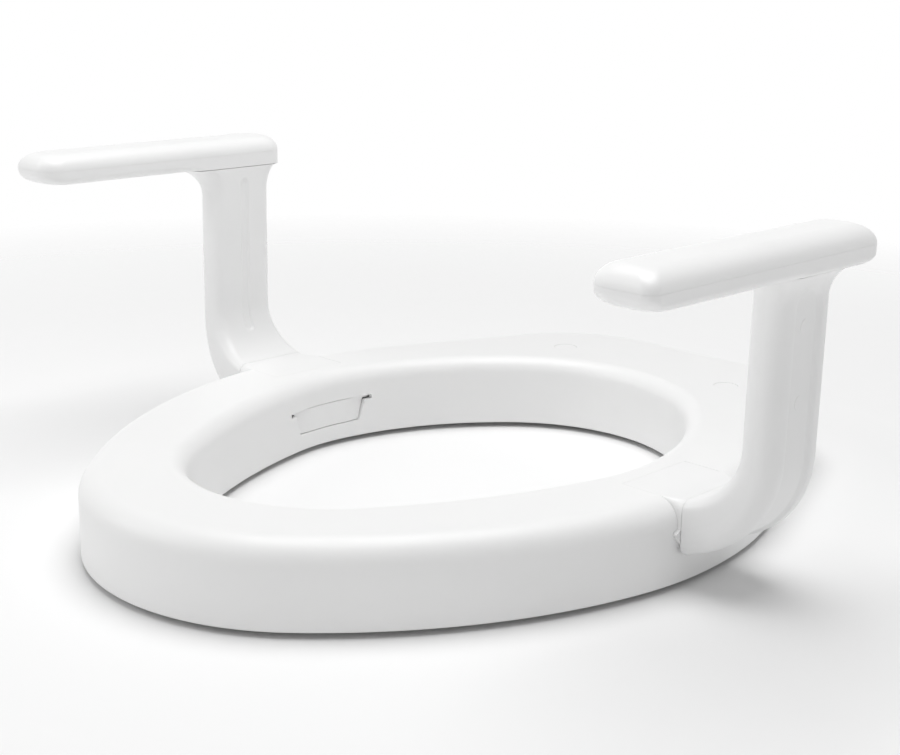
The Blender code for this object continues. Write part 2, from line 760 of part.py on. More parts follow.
def make_tongue(side, parent):
    """Foot block: slides in the socket, flush with the seat's top, and grips the steel bar."""
    name = side_name(side)
    bm = bmesh.new()
    bend = elbow_centres()[0].x
    outboard = bend + ELBOW_INNER_RADIUS * math.sin(FOOT_START_ANGLE) - 2.0 * GAP
    stations = (TONGUE_PLATE_INBOARD, bend, 0.5 * (bend + outboard), outboard)
    loops = [[(side * x, y, z) for y, z in foot_outline(0.0, block_top(x))] for x in stations]
    add_loft(bm, loops, face_end)
    tongue = object_from(f"foot_block_{name}", bm, "arm_plastic", parent)
    nose = bmesh.new()
    nose_outline = foot_outline(-GAP, NOSE_TOP)
    add_prism(nose, nose_outline, side * TONGUE_INBOARD, side * (TONGUE_PLATE_INBOARD + NOSE_ROOT))
    boolean(tongue, cutter_from(f"foot_nose_{name}", nose), "UNION")
    room = bmesh.new()
    middle = core_path()[0][0]
    half = CORE_HALF_THICK + GAP
    reach = CORE_HALF_WIDTH + GAP
    slot = [(ARM_Y - reach, middle.y - half), (ARM_Y + reach, middle.y - half)]
    slot += [(y, middle.y + half + CORE_SLOT_RISE) for y, _ in reversed(slot)]
    add_prism(room, slot, side * (middle.x - GAP), side * (outboard + WALL))
    boolean(tongue, cutter_from(f"core_slot_{name}", room), "DIFFERENCE")
    holes = bmesh.new()
    counterbore = TONGUE_HEAD + GAP
    seat = TONGUE_BOTTOM + TONGUE_COUNTERBORE
    for x in TONGUE_SCREWS_X:
        wide = [(TONGUE_BOTTOM - WALL, counterbore), (seat, counterbore)]
        narrow = [(seat, TONGUE_BOLT + GAP), (middle.y, TONGUE_BOLT + GAP)]
        add_upright_post(holes, side * x, ARM_Y, wide + narrow)
    boolean(tongue, cutter_from(f"foot_holes_{name}", holes), "DIFFERENCE")
    for number, x in enumerate(TONGUE_SCREWS_X, 1):
        screw = bmesh.new()
        length = middle.y + CORE_HALF_THICK - seat
        add_screw(screw, side * x, ARM_Y, seat - GAP, length, FOOT_SCREW)
        object_from(f"foot_screw_{number}_{name}", screw, "screw_steel", parent)


# ================================================================ armrest pieces
def rest_screw_x():
    """Screws stand just outboard of the upright bar, in the bracket plate's middle."""
    return core_path()[-1][0].x + REST_SCREW_OFFSET


def rest_plan(inset):
    """Rounded-rectangle plan of the armrest, moved in by an inset, as (x, y) points."""
    share = inset / REST_UPPER_WIDTH
    radii = [radius + (REST_TOP_CORNER - radius) * share for radius in REST_CORNERS]
    x_low, x_high = REST_INNER + inset, REST_OUTER - inset
    y_low, y_high = REST_FRONT + inset, REST_REAR - inset
    arcs = []
    for quarter, radius in enumerate(radii):
        x = x_low + radius if quarter in (1, 2) else x_high - radius
        y = y_high - radius if quarter < 2 else y_low + radius
        start = 0.5 * math.pi * quarter
        arcs.append(arc((x, y), radius, start, start + 0.5 * math.pi, 4))
    plan = []
    for quarter, points in enumerate(arcs):
        plan += points
        if quarter in (1, 3):
            (x0, y0), (x1, y1) = points[-1], arcs[(quarter + 1) % 4][0]
            steps = [i / REST_SIDE_STEPS for i in range(1, REST_SIDE_STEPS)]
            plan += [(x0 + (x1 - x0) * step, y0 + (y1 - y0) * step) for step in steps]
    return plan


def beyond_flare(x, y):
    """Distance in plan from a point to the rounded top end of the upright's flare, zero inside it."""
    x_low, x_high = REST_INNER, POST_OUTER + FLARE_OUTER
    y_low = ARM_Y - POST_HALF_WIDTH - FLARE_FRONT
    y_high = ARM_Y + POST_HALF_WIDTH + FLARE_REAR
    dx = abs(x - 0.5 * (x_low + x_high)) - 0.5 * (x_high - x_low) + FLARE_CORNER
    dy = abs(y - 0.5 * (y_low + y_high)) - 0.5 * (y_high - y_low) + FLARE_CORNER
    return max(math.hypot(max(dx, 0.0), max(dy, 0.0)) - FLARE_CORNER, 0.0)


def lower_radius(x, y):
    """Radius of the armrest's lower edge at a point of its plan."""
    forward = min(max((REST_FRONT + REST_FRONT_BLEND - y) / REST_FRONT_BLEND, 0.0), 1.0)
    full = REST_LOWER_SIDE + (REST_LOWER_FRONT - REST_LOWER_SIDE) * smoothstep(forward)
    return max(min(full, beyond_flare(x, y)), REST_LOWER_LEAST)


def lower_loop(side, turn):
    """The armrest's outline at one angle below the horizontal of its rounded lower edge."""
    loop = []
    for (x, y), (x_in, y_in) in zip(rest_plan(0.0), rest_plan(REST_LOWER_FRONT)):
        radius = lower_radius(x, y)
        share = radius * (1.0 - math.cos(turn)) / REST_LOWER_FRONT
        z = REST_BOTTOM + radius * (1.0 - math.sin(turn))
        loop.append((x + (x_in - x) * share, y + (y_in - y) * share, z))
    return mirrored(loop, side)


def upper_loop(side, turn, wall=0.0):
    """The outline at one angle above the horizontal of the upper edge; the cavity's lies a wall inside."""
    inset = REST_UPPER_WIDTH - (REST_UPPER_WIDTH - wall) * math.cos(turn)
    z = REST_TOP - REST_UPPER_HEIGHT + (REST_UPPER_HEIGHT - wall) * math.sin(turn)
    return mirrored([(x, y, z) for x, y in rest_plan(inset)], side)


def make_rest_base(side, parent):
    name = side_name(side)
    bm = bmesh.new()
    loops = [lower_loop(side, 0.5 * math.pi * (1.0 - i / 3)) for i in range(4)]
    loops.append(mirrored([(x, y, REST_PARTING) for x, y in rest_plan(0.0)], side))
    add_loft(bm, loops, face_end)
    base = object_from(f"armrest_base_{name}", bm, "arm_plastic", parent)
    room = bmesh.new()
    bar_x = core_path()[-1][0].x
    reach = CORE_HALF_WIDTH + GAP
    below, above = REST_BOTTOM - REST_WALL, REST_PARTING + REST_WALL
    slot = [(ARM_Y - reach, below), (ARM_Y + reach, below), (ARM_Y + reach, above), (ARM_Y - reach, above)]
    half = CORE_HALF_THICK + GAP
    add_prism(room, slot, side * (bar_x - half), side * (bar_x + half))
    head = SCREW_HEAD_RADIUS + GAP
    for y in REST_SCREWS_Y[:-1]:
        steps = [(below, head), (rest_screw_seat(), head), (rest_screw_seat(), SCREW_CLEARANCE)]
        add_upright_post(room, side * rest_screw_x(), y, steps + [(above, SCREW_CLEARANCE)])
    steps = [(below, SCREW_CLEARANCE), (above, SCREW_CLEARANCE)]
    add_upright_post(room, side * rest_screw_x(), REST_SCREWS_Y[-1], steps)
    boolean(base, cutter_from(f"rest_room_{name}", room), "DIFFERENCE")


def make_rest_cover(side, parent):
    name = side_name(side)
    bm = bmesh.new()
    low = REST_PARTING + GAP
    rise = low - (REST_TOP - REST_UPPER_HEIGHT)
    start = math.asin(rise / REST_UPPER_HEIGHT)
    skin = [upper_loop(side, start + (0.5 * math.pi - start) * i / 6) for i in range(7)]
    start = math.asin(rise / (REST_UPPER_HEIGHT - REST_WALL))
    cavity = [upper_loop(side, start + (0.5 * math.pi - start) * i / 3, REST_WALL) for i in range(4)]
    add_cup(bm, skin, cavity[::-1])
    cover = object_from(f"armrest_cover_{name}", bm, "arm_plastic", parent)
    bosses = bmesh.new()
    boss_low = low + BRACKET_THICK + GAP
    for y in REST_SCREWS_Y:
        steps = [(boss_low, BOSS_RADIUS), (REST_TOP - 0.5 * REST_WALL, BOSS_RADIUS)]
        add_upright_post(bosses, side * rest_screw_x(), y, steps)
    boolean(cover, cutter_from(f"rest_bosses_{name}", bosses), "UNION")
    pilots = bmesh.new()
    pilot = SCREW_RADIUS + GAP
    for y in REST_SCREWS_Y:
        steps = [(REST_PARTING, pilot), (REST_TOP - REST_WALL, pilot)]
        add_upright_post(pilots, side * rest_screw_x(), y, steps)
    boolean(cover, cutter_from(f"rest_pilots_{name}", pilots), "DIFFERENCE")


def rest_screw_seat():
    """Bottom of the counterbores in the armrest's base."""
    return REST_BOTTOM + SCREW_HEAD_HEIGHT + GAP


def add_cup(bm, skin, cavity):
    """A hollow cap, open below: outer loops from the rim up, inner loops from the top down."""
    rows = [[bm.verts.new(point) for point in loop] for loop in skin + cavity]
    count = len(rows[0])
    outer_top = len(skin) - 1
    for index, (low, high) in enumerate(zip(rows, rows[1:] + rows[:1])):
        if index == outer_top:
            continue
        for i in range(count):
            j = (i + 1) % count
            bm.faces.new((low[i], low[j], high[j], high[i]))
    bm.faces.new(rows[outer_top])
    bm.faces.new(rows[outer_top + 1])


def make_rest_screws(side, parent):
    """The front two hold the base to the bracket and cover; the rear one starts inside the neck."""
    seats = [rest_screw_seat() - GAP] * (len(REST_SCREWS_Y) - 1) + [REST_BOTTOM - GAP]
    tip = REST_TOP - REST_WALL - GAP
    for number, (y, seat) in enumerate(zip(REST_SCREWS_Y, seats), 1):
        bm = bmesh.new()
        add_screw(bm, side * rest_screw_x(), y, seat, tip - seat)
        object_from(f"armrest_screw_{number}_{side_name(side)}", bm, "screw_steel", parent)


def make_release_tab(side):
    """Sprung tab in the hole's wall; its parent empty lies on its hinge line."""
    name = side_name(side)
    hinge = bpy.data.objects.new(f"tab_hinge_{name}", None)
    hinge.location = (side * TAB_HINGE_X, ARM_Y, TAB_TOP)
    bpy.context.collection.objects.link(hinge)
    bm = bmesh.new()
    add_prism(bm, tab_outline(0.0), side * TAB_FACE, side * (TAB_FACE + TAB_THICK))
    tab = object_from(f"release_tab_{name}", bm, "seat_plastic", hinge)
    rib = bmesh.new()
    low = TAB_BOTTOM + TAB_RIB
    outline = [(ARM_Y - TAB_RIB_HALF_WIDTH, low), (ARM_Y + TAB_RIB_HALF_WIDTH, low)]
    outline += [(y, low + TAB_RIB) for y, _ in reversed(outline)]
    add_prism(rib, outline, side * (TAB_FACE + 0.5 * TAB_THICK), side * (TAB_FACE + TAB_THICK + TAB_RIB))
    boolean(tab, cutter_from(f"tab_rib_{name}", rib), "UNION")


def make_arm(side):
    """One whole arm; its parent empty lies on the slide's line."""
    slide = bpy.data.objects.new(f"arm_slide_{side_name(side)}", None)
    slide.location = (side * RING_HALF_WIDTH, ARM_Y, 0.5 * (TONGUE_BOTTOM + RING_TOP))
    bpy.context.collection.objects.link(slide)
    make_upright_shells(side, slide)
    make_core(side, slide)
    make_tongue(side, slide)
    make_rest_base(side, slide)
    make_rest_cover(side, slide)
    make_rest_screws(side, slide)


def main():
    clear_objects()
    make_seat_shell()
    make_base_plate()
    make_bumpers()
    make_base_screws()
    make_bolt_sleeves()
    make_arm_sockets()
    make_socket_screws()
    for side in (-1, 1):
        make_arm(side)
        make_release_tab(side)


main()
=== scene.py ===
"""Looks of the raised toilet seat: fine moulded skins, plastic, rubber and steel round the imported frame.

Units are metres, +Z is up and the user faces -Y, as in the frame.
"""
import math

import bmesh
import bpy
from mathutils import Matrix, Vector


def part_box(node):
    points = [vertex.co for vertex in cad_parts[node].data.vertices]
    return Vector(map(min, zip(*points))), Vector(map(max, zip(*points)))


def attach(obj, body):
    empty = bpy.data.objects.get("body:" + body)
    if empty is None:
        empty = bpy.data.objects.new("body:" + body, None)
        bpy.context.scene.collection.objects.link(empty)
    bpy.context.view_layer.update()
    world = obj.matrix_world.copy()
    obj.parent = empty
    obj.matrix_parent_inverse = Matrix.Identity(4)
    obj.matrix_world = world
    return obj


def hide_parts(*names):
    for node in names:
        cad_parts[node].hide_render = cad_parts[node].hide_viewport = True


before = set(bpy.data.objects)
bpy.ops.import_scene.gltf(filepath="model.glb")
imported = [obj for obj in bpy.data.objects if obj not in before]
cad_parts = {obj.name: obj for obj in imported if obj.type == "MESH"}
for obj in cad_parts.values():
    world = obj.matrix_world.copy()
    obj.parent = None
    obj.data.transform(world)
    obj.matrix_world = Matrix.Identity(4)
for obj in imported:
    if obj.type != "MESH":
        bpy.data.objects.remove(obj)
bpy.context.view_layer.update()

SIDES = ((1, "right"), (-1, "left"))

# ---- places read from the frame
RING_LOW, RING_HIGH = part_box("seat_shell")
RING_FRONT_TIP = RING_LOW.y
RING_UNDERSIDE = RING_LOW.z
RING_TOP = RING_HIGH.z
REST_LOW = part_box("armrest_base_right")[0]
REST_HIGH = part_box("armrest_cover_right")[1]
REST_PARTING = 0.5 * (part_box("armrest_base_right")[1].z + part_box("armrest_cover_right")[0].z)
FOOT_LOW, FOOT_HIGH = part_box("foot_block_right")
TAB_LOW, TAB_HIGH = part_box("release_tab_right")
ARM_Y = 0.5 * (FOOT_LOW.y + FOOT_HIGH.y)
POST_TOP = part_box("upright_inner_shell_right")[1].z

# ---- seat ring
HOLE_FRONT_TIP = -0.1881
# Right half of each outline, front tip to rear: tangent arcs as (radius, degrees), straights as (length, 0).
RING_RUNS = (
    (0.1291, 44.1),
    (0.3200, 34.7),
    (0.2160, 11.7),
    (0.2810, 21.5),
    (0.1025, 0.0),
    (0.0888, 68.0),
    (0.0440, 0.0),
)
HOLE_RUNS = (
    (0.0843, 56.1),
    (0.3734, 21.2),
    (0.1241, 17.3),
    (0.1884, 40.6),
    (0.1022, 44.8),
)
RING_STATIONS = 288
OUTLINE_STEPS = 90  # points along one arc of an outline, before they are spaced evenly
RING_OUTER_EDGE = 0.0140
RING_HOLE_EDGE = 0.0107
RING_LIP = 0.0009  # radius of the ring's lower edges
TOP_RUN = 0.0012  # the flat top's first strip past a rounded edge
WALL = 0.0030
HOLE_HALF_WIDTH = 0.1274
RING_HALF_WIDTH = 0.1852
HAIRLINE = 0.00010  # visible gap between moulded pieces
SHELL_SEAM = 0.00002  # the two halves of an upright meet almost without a gap
SOFT_EDGE = 0.0005  # radius of the edges round cuts
CAP_RADIUS = 0.0080
CAP_EDGE = 0.0004  # rounding of the cap's rim, with one point between
CAP_EDGE_STEP = 0.0001
CAP_FLAT_RADIUS = 0.0020
CAP_PLUG_RADIUS = 0.0039
CAP_PLUG_CHAMFER = 0.0006
BOLT_BORE = 0.0045
BASE_SCREWS = 8
FLANGE_THICK = 0.0030
BOSS_RADIUS = 0.0042
BOSS_ROOT_SPREAD = 0.4 * WALL
PILOT_RADIUS = 0.0018
CLEARANCE_RADIUS = 0.0021
STEM_CLEARANCE = 0.0036
PLATE_CHAMFER = 0.0004
FIT = 0.0003  # gap between inner pieces, as in the frame
ROUNDING_STEPS = 4  # points in the rounded corner of a polygon
PILOT_SIDES = 24
BORE_SIDES = 32
SOFTEN_ANGLE = math.radians(40.0)
SMOOTH_ANGLE = math.radians(38.0)

# ---- arm
ARM_WALL = 0.0025
POST_INNER = 0.2136
POST_OUTER = 0.2358
POST_HALF_WIDTH = 0.0247
POST_CORNER = 0.0100
FOOT_HALF_WIDTH = 0.0285
FOOT_CORNER = 0.0060
ELBOW_INNER_RADIUS = 0.0340
ELBOW_OUTER_RADIUS = 0.0615
ELBOW_BOTTOM = 0.0190  # lowest point of the elbow's outer curve
ELBOW_START = math.radians(11.5)
FLARE_HEIGHT = 0.0180
FLARE_FRONT = 0.0210
FLARE_REAR = 0.0130
FLARE_OUTER = 0.0140
FLARE_CORNER = 0.0150
ELBOW_STEPS = 36
POST_STEPS = 42
FLARE_STEPS = 18
FACE_STEPS = 56  # points across one face of the upright
CORNER_STEPS = 8
FLUTE_HALF_WIDTH = 0.0112  # broad finger-shaped hollow on the outer face
FLUTE_DEPTH = 0.0019
FLUTE_SOFTNESS = 0.0040
FLUTE_TOP = 0.1712
FLUTE_WIDENING = 0.18  # share by which it widens towards the foot
FLUTE_WIDENS_BELOW = 0.0900
FLUTE_WIDENS_OVER = 0.0800
GROOVE_HALF_WIDTH = 0.0030  # narrow groove on the inner face
GROOVE_DEPTH = 0.0011
GROOVE_SOFTNESS = 0.0018
GROOVE_TOP = 0.1730
GROOVE_BOTTOM = 0.0672
CORE_HALF_THICK = 0.0030
CORE_HALF_WIDTH = 0.0150
PEG_HEIGHTS = (0.110, 0.150)
PEG_RADIUS = 0.0024
PEG_LENGTH = 0.0110
PEG_SOCKET_FLOOR = 0.0030
FITTING_ROOT = 0.7 * ARM_WALL  # how deep pegs and sockets reach into their shell

# ---- foot block
BLOCK_BOTTOM_HALF = 0.0200
BLOCK_BOTTOM_CORNER = 0.0010
BLOCK_TOP_CORNER = 0.0003
BLOCK_EDGE_STEPS = 8  # sections over the ring's rounded edge
BLOCK_OVERRUN = 0.0004
LEDGE_HEIGHT = 0.0324
LEDGE_HALF = 0.0320
LEDGE_LIP = 0.0008
LEDGE_SLOPE = 0.0020
LEDGE_CORNER = 0.0003
SHELF_CORNER = 0.0004
NOSE_TOP = 0.0440
NOSE_CORNER = 0.0010
NOSE_OVERLAP = 0.0040
BLOCK_INBOARD = 0.1460
CORE_SLOT_RISE = 0.0014

# ---- screws
SMALL_SCREW = 0.0015  # shank radii
LARGE_SCREW = 0.0020
SMALL_HEAD_RADIUS = 0.0034
LARGE_HEAD_RADIUS = 0.0036
SMALL_HEAD = 0.0016  # head heights
LARGE_HEAD = 0.0022
THREAD_PITCH = 0.0008
THREAD_DEPTH = 0.00028
THREAD_SHARPNESS = 1.5
THREAD_STEPS = 6  # sections in one turn of the thread
SCREW_SIDES = 24
HEAD_STEPS = 8
HEAD_FLATNESS = 1.6
POINT_TURNS = 2.5  # turns of thread over which the point tapers
POINT_SHARE = 0.35  # its end's share of the shank's radius
CROSS_REACH = 0.55  # the cross recess, as shares of the head's radius and height
CROSS_HALF_WIDTH = 0.11
CROSS_TAPER = 0.45
CROSS_FLOOR = 0.35

# ---- release tab
TAB_THICK = 0.0030
TAB_BOTTOM_HALF = 0.0265
TAB_SHOULDER = 0.0289
TAB_SHOULDER_HALF = 0.0308
TAB_EAR_HALF = 0.0360
TAB_CORNER = 0.0009
TAB_EAR_CORNER = 0.0004
TAB_SOFT_EDGE = 0.0004
TAB_GAP = 0.0003
TAB_EAR_LIFT = 0.00035  # more room below the ears, for the swing
TAB_SINK = 0.0002  # its face lies this far behind the inner wall
TAB_PROUD = 0.0014  # its ends follow the curved wall inwards only this far, to clear it in the swing
RIB_HALF = 0.0120  # the rib behind the tab; heights are from the tab's lower edge
RIB_LOW = 0.0030
RIB_HIGH = 0.0060
WINDOW_CORNER = 0.0012
WINDOW_REACH = 0.0015  # how far the tab's window is cut past the wall

# ---- armrest
# Plan corners at the widest level: rear outer, rear inner, front inner, front outer.
REST_CORNERS = (0.0090, 0.0150, 0.0140, 0.0070)
REST_TOP_CORNER = 0.0070  # all plan corners where the side meets the flat top
REST_UPPER_WIDTH = 0.0120  # the upper edge is a quarter ellipse
REST_UPPER_HEIGHT = 0.0100
REST_LOWER_SIDE = 0.0045  # radius of the lower edge along the sides, and under the front end
REST_LOWER_FRONT = 0.0085
REST_LOWER_LEAST = 0.0001  # where the upright runs into it
REST_FRONT_BLEND = 0.0120  # the lower radius changes over this length
REST_EASE_PASSES = 3  # rounds of smoothing between neighbouring lower radii
REST_SEAM = 0.00001
REST_WALL = 0.0025
BRACKET_THICK = 0.0030
REST_CORNER_STEPS = 14
REST_LONG_STEPS = 48
REST_SHORT_STEPS = 6
REST_LOWER_STEPS = 10
REST_UPPER_STEPS = 20
REST_CAVITY_STEPS = 10

# ---- bumpers
# Rings moulded in the sole: (share of the radius, height).
BUMPER_SOLE = ((0.30, 0.0003), (0.34, 0.0), (0.54, 0.0), (0.57, 0.0003), (0.62, 0.0003), (0.65, 0.0))
BUMPER_STEM_SHARE = 0.25
BUMPER_LOWER_EDGE = 0.0010
BUMPER_UPPER_EDGE = 0.0004
BUMPER_STEM_EDGE = 0.0008
BUMPER_EDGE_STEPS = 5
BUMPER_SIDES = 64


# ======== mesh helpers
def add_loft(bm, loops, caps=True, ring=False):
    """Skin a list of point loops of equal length; a ring joins its last loop to its first."""
    rows = [[bm.verts.new(point) for point in loop] for loop in loops]
    count = len(rows[0])
    pairs = list(zip(rows, rows[1:] + rows[:1])) if ring else list(zip(rows, rows[1:]))
    for low, high in pairs:
        for i in range(count):
            j = (i + 1) % count
            bm.faces.new((low[i], low[j], high[j], high[i]))
    if caps and not ring:
        bm.faces.new(rows[0])
        bm.faces.new(rows[-1])
    return rows


def close_channel(bm, row):
    """Close the end of a channel, whose loop runs out along one skin and back along the other."""
    half = len(row) // 2
    for i in range(half - 1):
        bm.faces.new((row[i], row[i + 1], row[-2 - i], row[-1 - i]))


def object_from(name, bm):
    bmesh.ops.recalc_face_normals(bm, faces=bm.faces)
    mesh = bpy.data.meshes.new(name)
    bm.to_mesh(mesh)
    bm.free()
    piece = bpy.data.objects.new(name, mesh)
    bpy.context.scene.collection.objects.link(piece)
    return piece


def bake_modifiers(piece):
    """Freeze the evaluated mesh, and drop the modifiers that made it."""
    bpy.context.view_layer.update()
    graph = bpy.context.evaluated_depsgraph_get()
    mesh = bpy.data.meshes.new_from_object(piece.evaluated_get(graph))
    piece.modifiers.clear()
    piece.data = mesh


def cut(piece, bm, operation="DIFFERENCE"):
    """Apply an exact Boolean with a throwaway tool body."""
    tool = object_from("tool", bm)
    step = piece.modifiers.new("cut", "BOOLEAN")
    step.operation = operation
    step.solver = "EXACT"
    step.object = tool
    bake_modifiers(piece)
    bpy.data.objects.remove(tool, do_unlink=True)


def soften(piece, width):
    """Round every sharp edge."""
    step = piece.modifiers.new("soften", "BEVEL")
    step.width = width
    step.segments = 2
    step.limit_method = "ANGLE"
    step.angle_limit = SOFTEN_ANGLE
    step.harden_normals = False
    step.miter_outer = "MITER_ARC"
    bake_modifiers(piece)


def finish_piece(piece, material, body, slot, *nodes):
    """Smooth shading, material, and the body and CAD nodes that a piece goes with; the slot argument is not
    used.
    """
    piece.data.shade_smooth()
    piece.data.set_sharp_from_angle(angle=SMOOTH_ANGLE)
    weighted = piece.modifiers.new("weighted", "WEIGHTED_NORMAL")
    weighted.keep_sharp = True
    piece.data.materials.clear()
    piece.data.materials.append(material)
    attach(piece, body)
    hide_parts(*nodes)


def arc_points(centre, radius, start, end, steps):
    points = []
    for i in range(steps + 1):
        turn = start + (end - start) * i / steps
        points.append((centre[0] + radius * math.cos(turn), centre[1] + radius * math.sin(turn)))
    return points


def rounded(corners):
    """A closed polygon with an arc in each corner; corners are (u, v, radius)."""
    outline = []
    count = len(corners)
    for i, (u, v, radius) in enumerate(corners):
        here = Vector((u, v))
        before = (Vector(corners[i - 1][:2]) - here).normalized()
        after = (Vector(corners[(i + 1) % count][:2]) - here).normalized()
        half = 0.5 * before.angle(after)
        reach = radius / math.tan(half)
        centre = here + (before + after).normalized() * (radius / math.sin(half))
        start = here + before * reach - centre
        sweep = before.angle_signed(after)
        turn = (math.pi - abs(sweep)) * (1.0 if sweep > 0.0 else -1.0)
        for step in range(ROUNDING_STEPS + 1):
            spun = start.copy()
            spun.rotate(Matrix.Rotation(turn * step / ROUNDING_STEPS, 2))
            outline.append(tuple(centre + spun))
    return outline


def prism(bm, outline, x_low, x_high):
    """Extrude a (y, z) outline along X."""
    add_loft(bm, [[(x, y, z) for y, z in outline] for x in (x_low, x_high)])


def crosswise(bm, side, z, profile):
    """A turned body about a line along X at the upright's centre: profile is (radius, x)."""
    loops = []
    for radius, x in profile:
        turns = [2.0 * math.pi * i / BORE_SIDES for i in range(BORE_SIDES)]
        loops.append([(side * x, ARM_Y + radius * math.cos(t), z + radius * math.sin(t)) for t in turns])
    add_loft(bm, loops)


def middle_of(node):
    low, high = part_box(node)
    return 0.5 * (low + high)


def turned(bm, x, y, profile, sides=48):
    """A turned body about a vertical line: profile is (radius, z) from the bottom up."""
    loops = []
    for radius, z in profile:
        loop = []
        for i in range(sides):
            turn = 2.0 * math.pi * i / sides
            loop.append((x + radius * math.cos(turn), y + radius * math.sin(turn), z))
        loops.append(loop)
    add_loft(bm, loops)


def smoothstep(value):
    share = min(max(value, 0.0), 1.0)
    return share * share * (3.0 - 2.0 * share)


# ======== seat ring
def half_outline(front_tip, runs):
    """Points from the front tip, heading +X, along tangent arcs and straights, to the middle of the rear."""
    points = [(0.0, front_tip)]
    heading = 0.0
    for size, degrees in runs:
        x, y = points[-1]
        if degrees:
            turn = math.radians(degrees)
            centre = (x - size * math.sin(heading), y + size * math.cos(heading))
            start = heading - 0.5 * math.pi
            points += arc_points(centre, size, start, start + turn, OUTLINE_STEPS)[1:]
            heading += turn
        else:
            points.append((x + size * math.cos(heading), y + size * math.sin(heading)))
    points[-1] = (0.0, points[-1][1])
    return points


def evenly_spaced(points, count):
    """Points at equal distances along a half outline, with outward normals, ends included."""
    travelled = [0.0]
    for (x0, y0), (x1, y1) in zip(points, points[1:]):
        travelled.append(travelled[-1] + math.hypot(x1 - x0, y1 - y0))
    result = []
    index = 0
    for i in range(count + 1):
        goal = travelled[-1] * i / count
        while index < len(points) - 2 and travelled[index + 1] < goal:
            index += 1
        low = Vector(points[index])
        high = Vector(points[index + 1])
        share = (goal - travelled[index]) / (travelled[index + 1] - travelled[index])
        along = (high - low).normalized()
        normal = Vector((along.y, -along.x))
        if i in (0, count):
            normal = Vector((0.0, -1.0 if i == 0 else 1.0))
        result.append((low.lerp(high, share), normal))
    return result


def whole_outline(half_points, stations):
    half = evenly_spaced(half_points, stations // 2)
    other = [(Vector((-p.x, p.y)), Vector((-n.x, n.y))) for p, n in reversed(half[1:-1])]
    return half + other


def skin_profile(edge):
    """(inset, z) of one visible wall from its lower edge up over the rounded top edge."""
    lip = arc_points((RING_LIP, RING_UNDERSIDE + RING_LIP), RING_LIP, 1.5 * math.pi, math.pi, 4)
    rise = RING_TOP - edge - RING_UNDERSIDE
    wall = [(0.0, RING_UNDERSIDE + RING_LIP + 0.25 * i * rise) for i in (1, 2, 3)]
    top = arc_points((edge, RING_TOP - edge), edge, math.pi, 0.5 * math.pi, 16)
    return lip + wall + top + [(edge + TOP_RUN, RING_TOP)]


def cavity_profile(edge):
    """(inset, z) of the hollow side of a wall, from the underside up."""
    inner = edge - WALL
    top = arc_points((edge, RING_TOP - edge), inner, math.pi, 0.5 * math.pi, 6)
    return [(WALL, RING_UNDERSIDE)] + top


def ring_walls():
    """Round the ring, a point on the outer wall and on the hole's, each with its way into the plastic."""
    outer = whole_outline(half_outline(RING_FRONT_TIP, RING_RUNS), RING_STATIONS)
    hole = whole_outline(half_outline(HOLE_FRONT_TIP, HOLE_RUNS), RING_STATIONS)
    return [((point, -normal), hole_side) for (point, normal), hole_side in zip(outer, hole)]


def ring_loops():
    outer_skin = [(0, inset, z) for inset, z in skin_profile(RING_OUTER_EDGE)]
    hole_skin = [(1, inset, z) for inset, z in skin_profile(RING_HOLE_EDGE)]
    hole_cavity = [(1, inset, z) for inset, z in cavity_profile(RING_HOLE_EDGE)]
    outer_cavity = [(0, inset, z) for inset, z in cavity_profile(RING_OUTER_EDGE)]
    section = outer_skin + hole_skin[::-1] + hole_cavity + outer_cavity[::-1]
    loops = []
    for walls in ring_walls():
        loop = []
        for wall, inset, z in section:
            place = walls[wall][0] + walls[wall][1] * inset
            loop.append((place.x, place.y, z))
        loops.append(loop)
    return loops


def block_outline(spread, top, top_radius):
    """(y, z) section of the foot block, grown outwards by spread."""
    corners = [
        (BLOCK_BOTTOM_HALF + spread, FOOT_LOW.z - spread, BLOCK_BOTTOM_CORNER),
        (LEDGE_HALF + spread, LEDGE_HEIGHT - spread, LEDGE_CORNER),
        (LEDGE_HALF + spread, LEDGE_HEIGHT + LEDGE_LIP + spread, LEDGE_CORNER),
        (FOOT_HALF_WIDTH + spread, LEDGE_HEIGHT + LEDGE_LIP + LEDGE_SLOPE + spread, SHELF_CORNER),
        (FOOT_HALF_WIDTH + spread, top, top_radius),
    ]
    corners += [(-y, z, radius) for y, z, radius in reversed(corners)]
    return [(ARM_Y + y, z) for y, z in rounded(corners)]


def tab_outline(spread, radius, lift=0.0):
    """(y, z) section of the release tab: a trapezoid that hangs from two short ears."""
    corners = [
        (TAB_BOTTOM_HALF + spread, TAB_LOW.z - spread, radius),
        (TAB_SHOULDER_HALF + spread, TAB_SHOULDER - spread + lift, TAB_EAR_CORNER),
        (TAB_EAR_HALF + spread, TAB_SHOULDER - spread + lift, TAB_EAR_CORNER),
        (TAB_EAR_HALF + spread, TAB_HIGH.z + spread, TAB_EAR_CORNER),
    ]
    corners += [(-y, z, corner) for y, z, corner in reversed(corners)]
    return [(ARM_Y + y, z) for y, z in rounded(corners)]


def ring_screws():
    """The screws that bite into the ring, each with the height where its boss starts."""
    plate_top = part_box("base_plate")[1].z
    places = [(f"base_screw_{number}", plate_top + FIT) for number in range(1, BASE_SCREWS + 1)]
    for _, name in SIDES:
        for row in ("front", "rear"):
            node = f"socket_screw_{row}_{name}"
            places.append((node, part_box(node)[0].z + SMALL_HEAD + FLANGE_THICK + 2.0 * FIT))
    return places


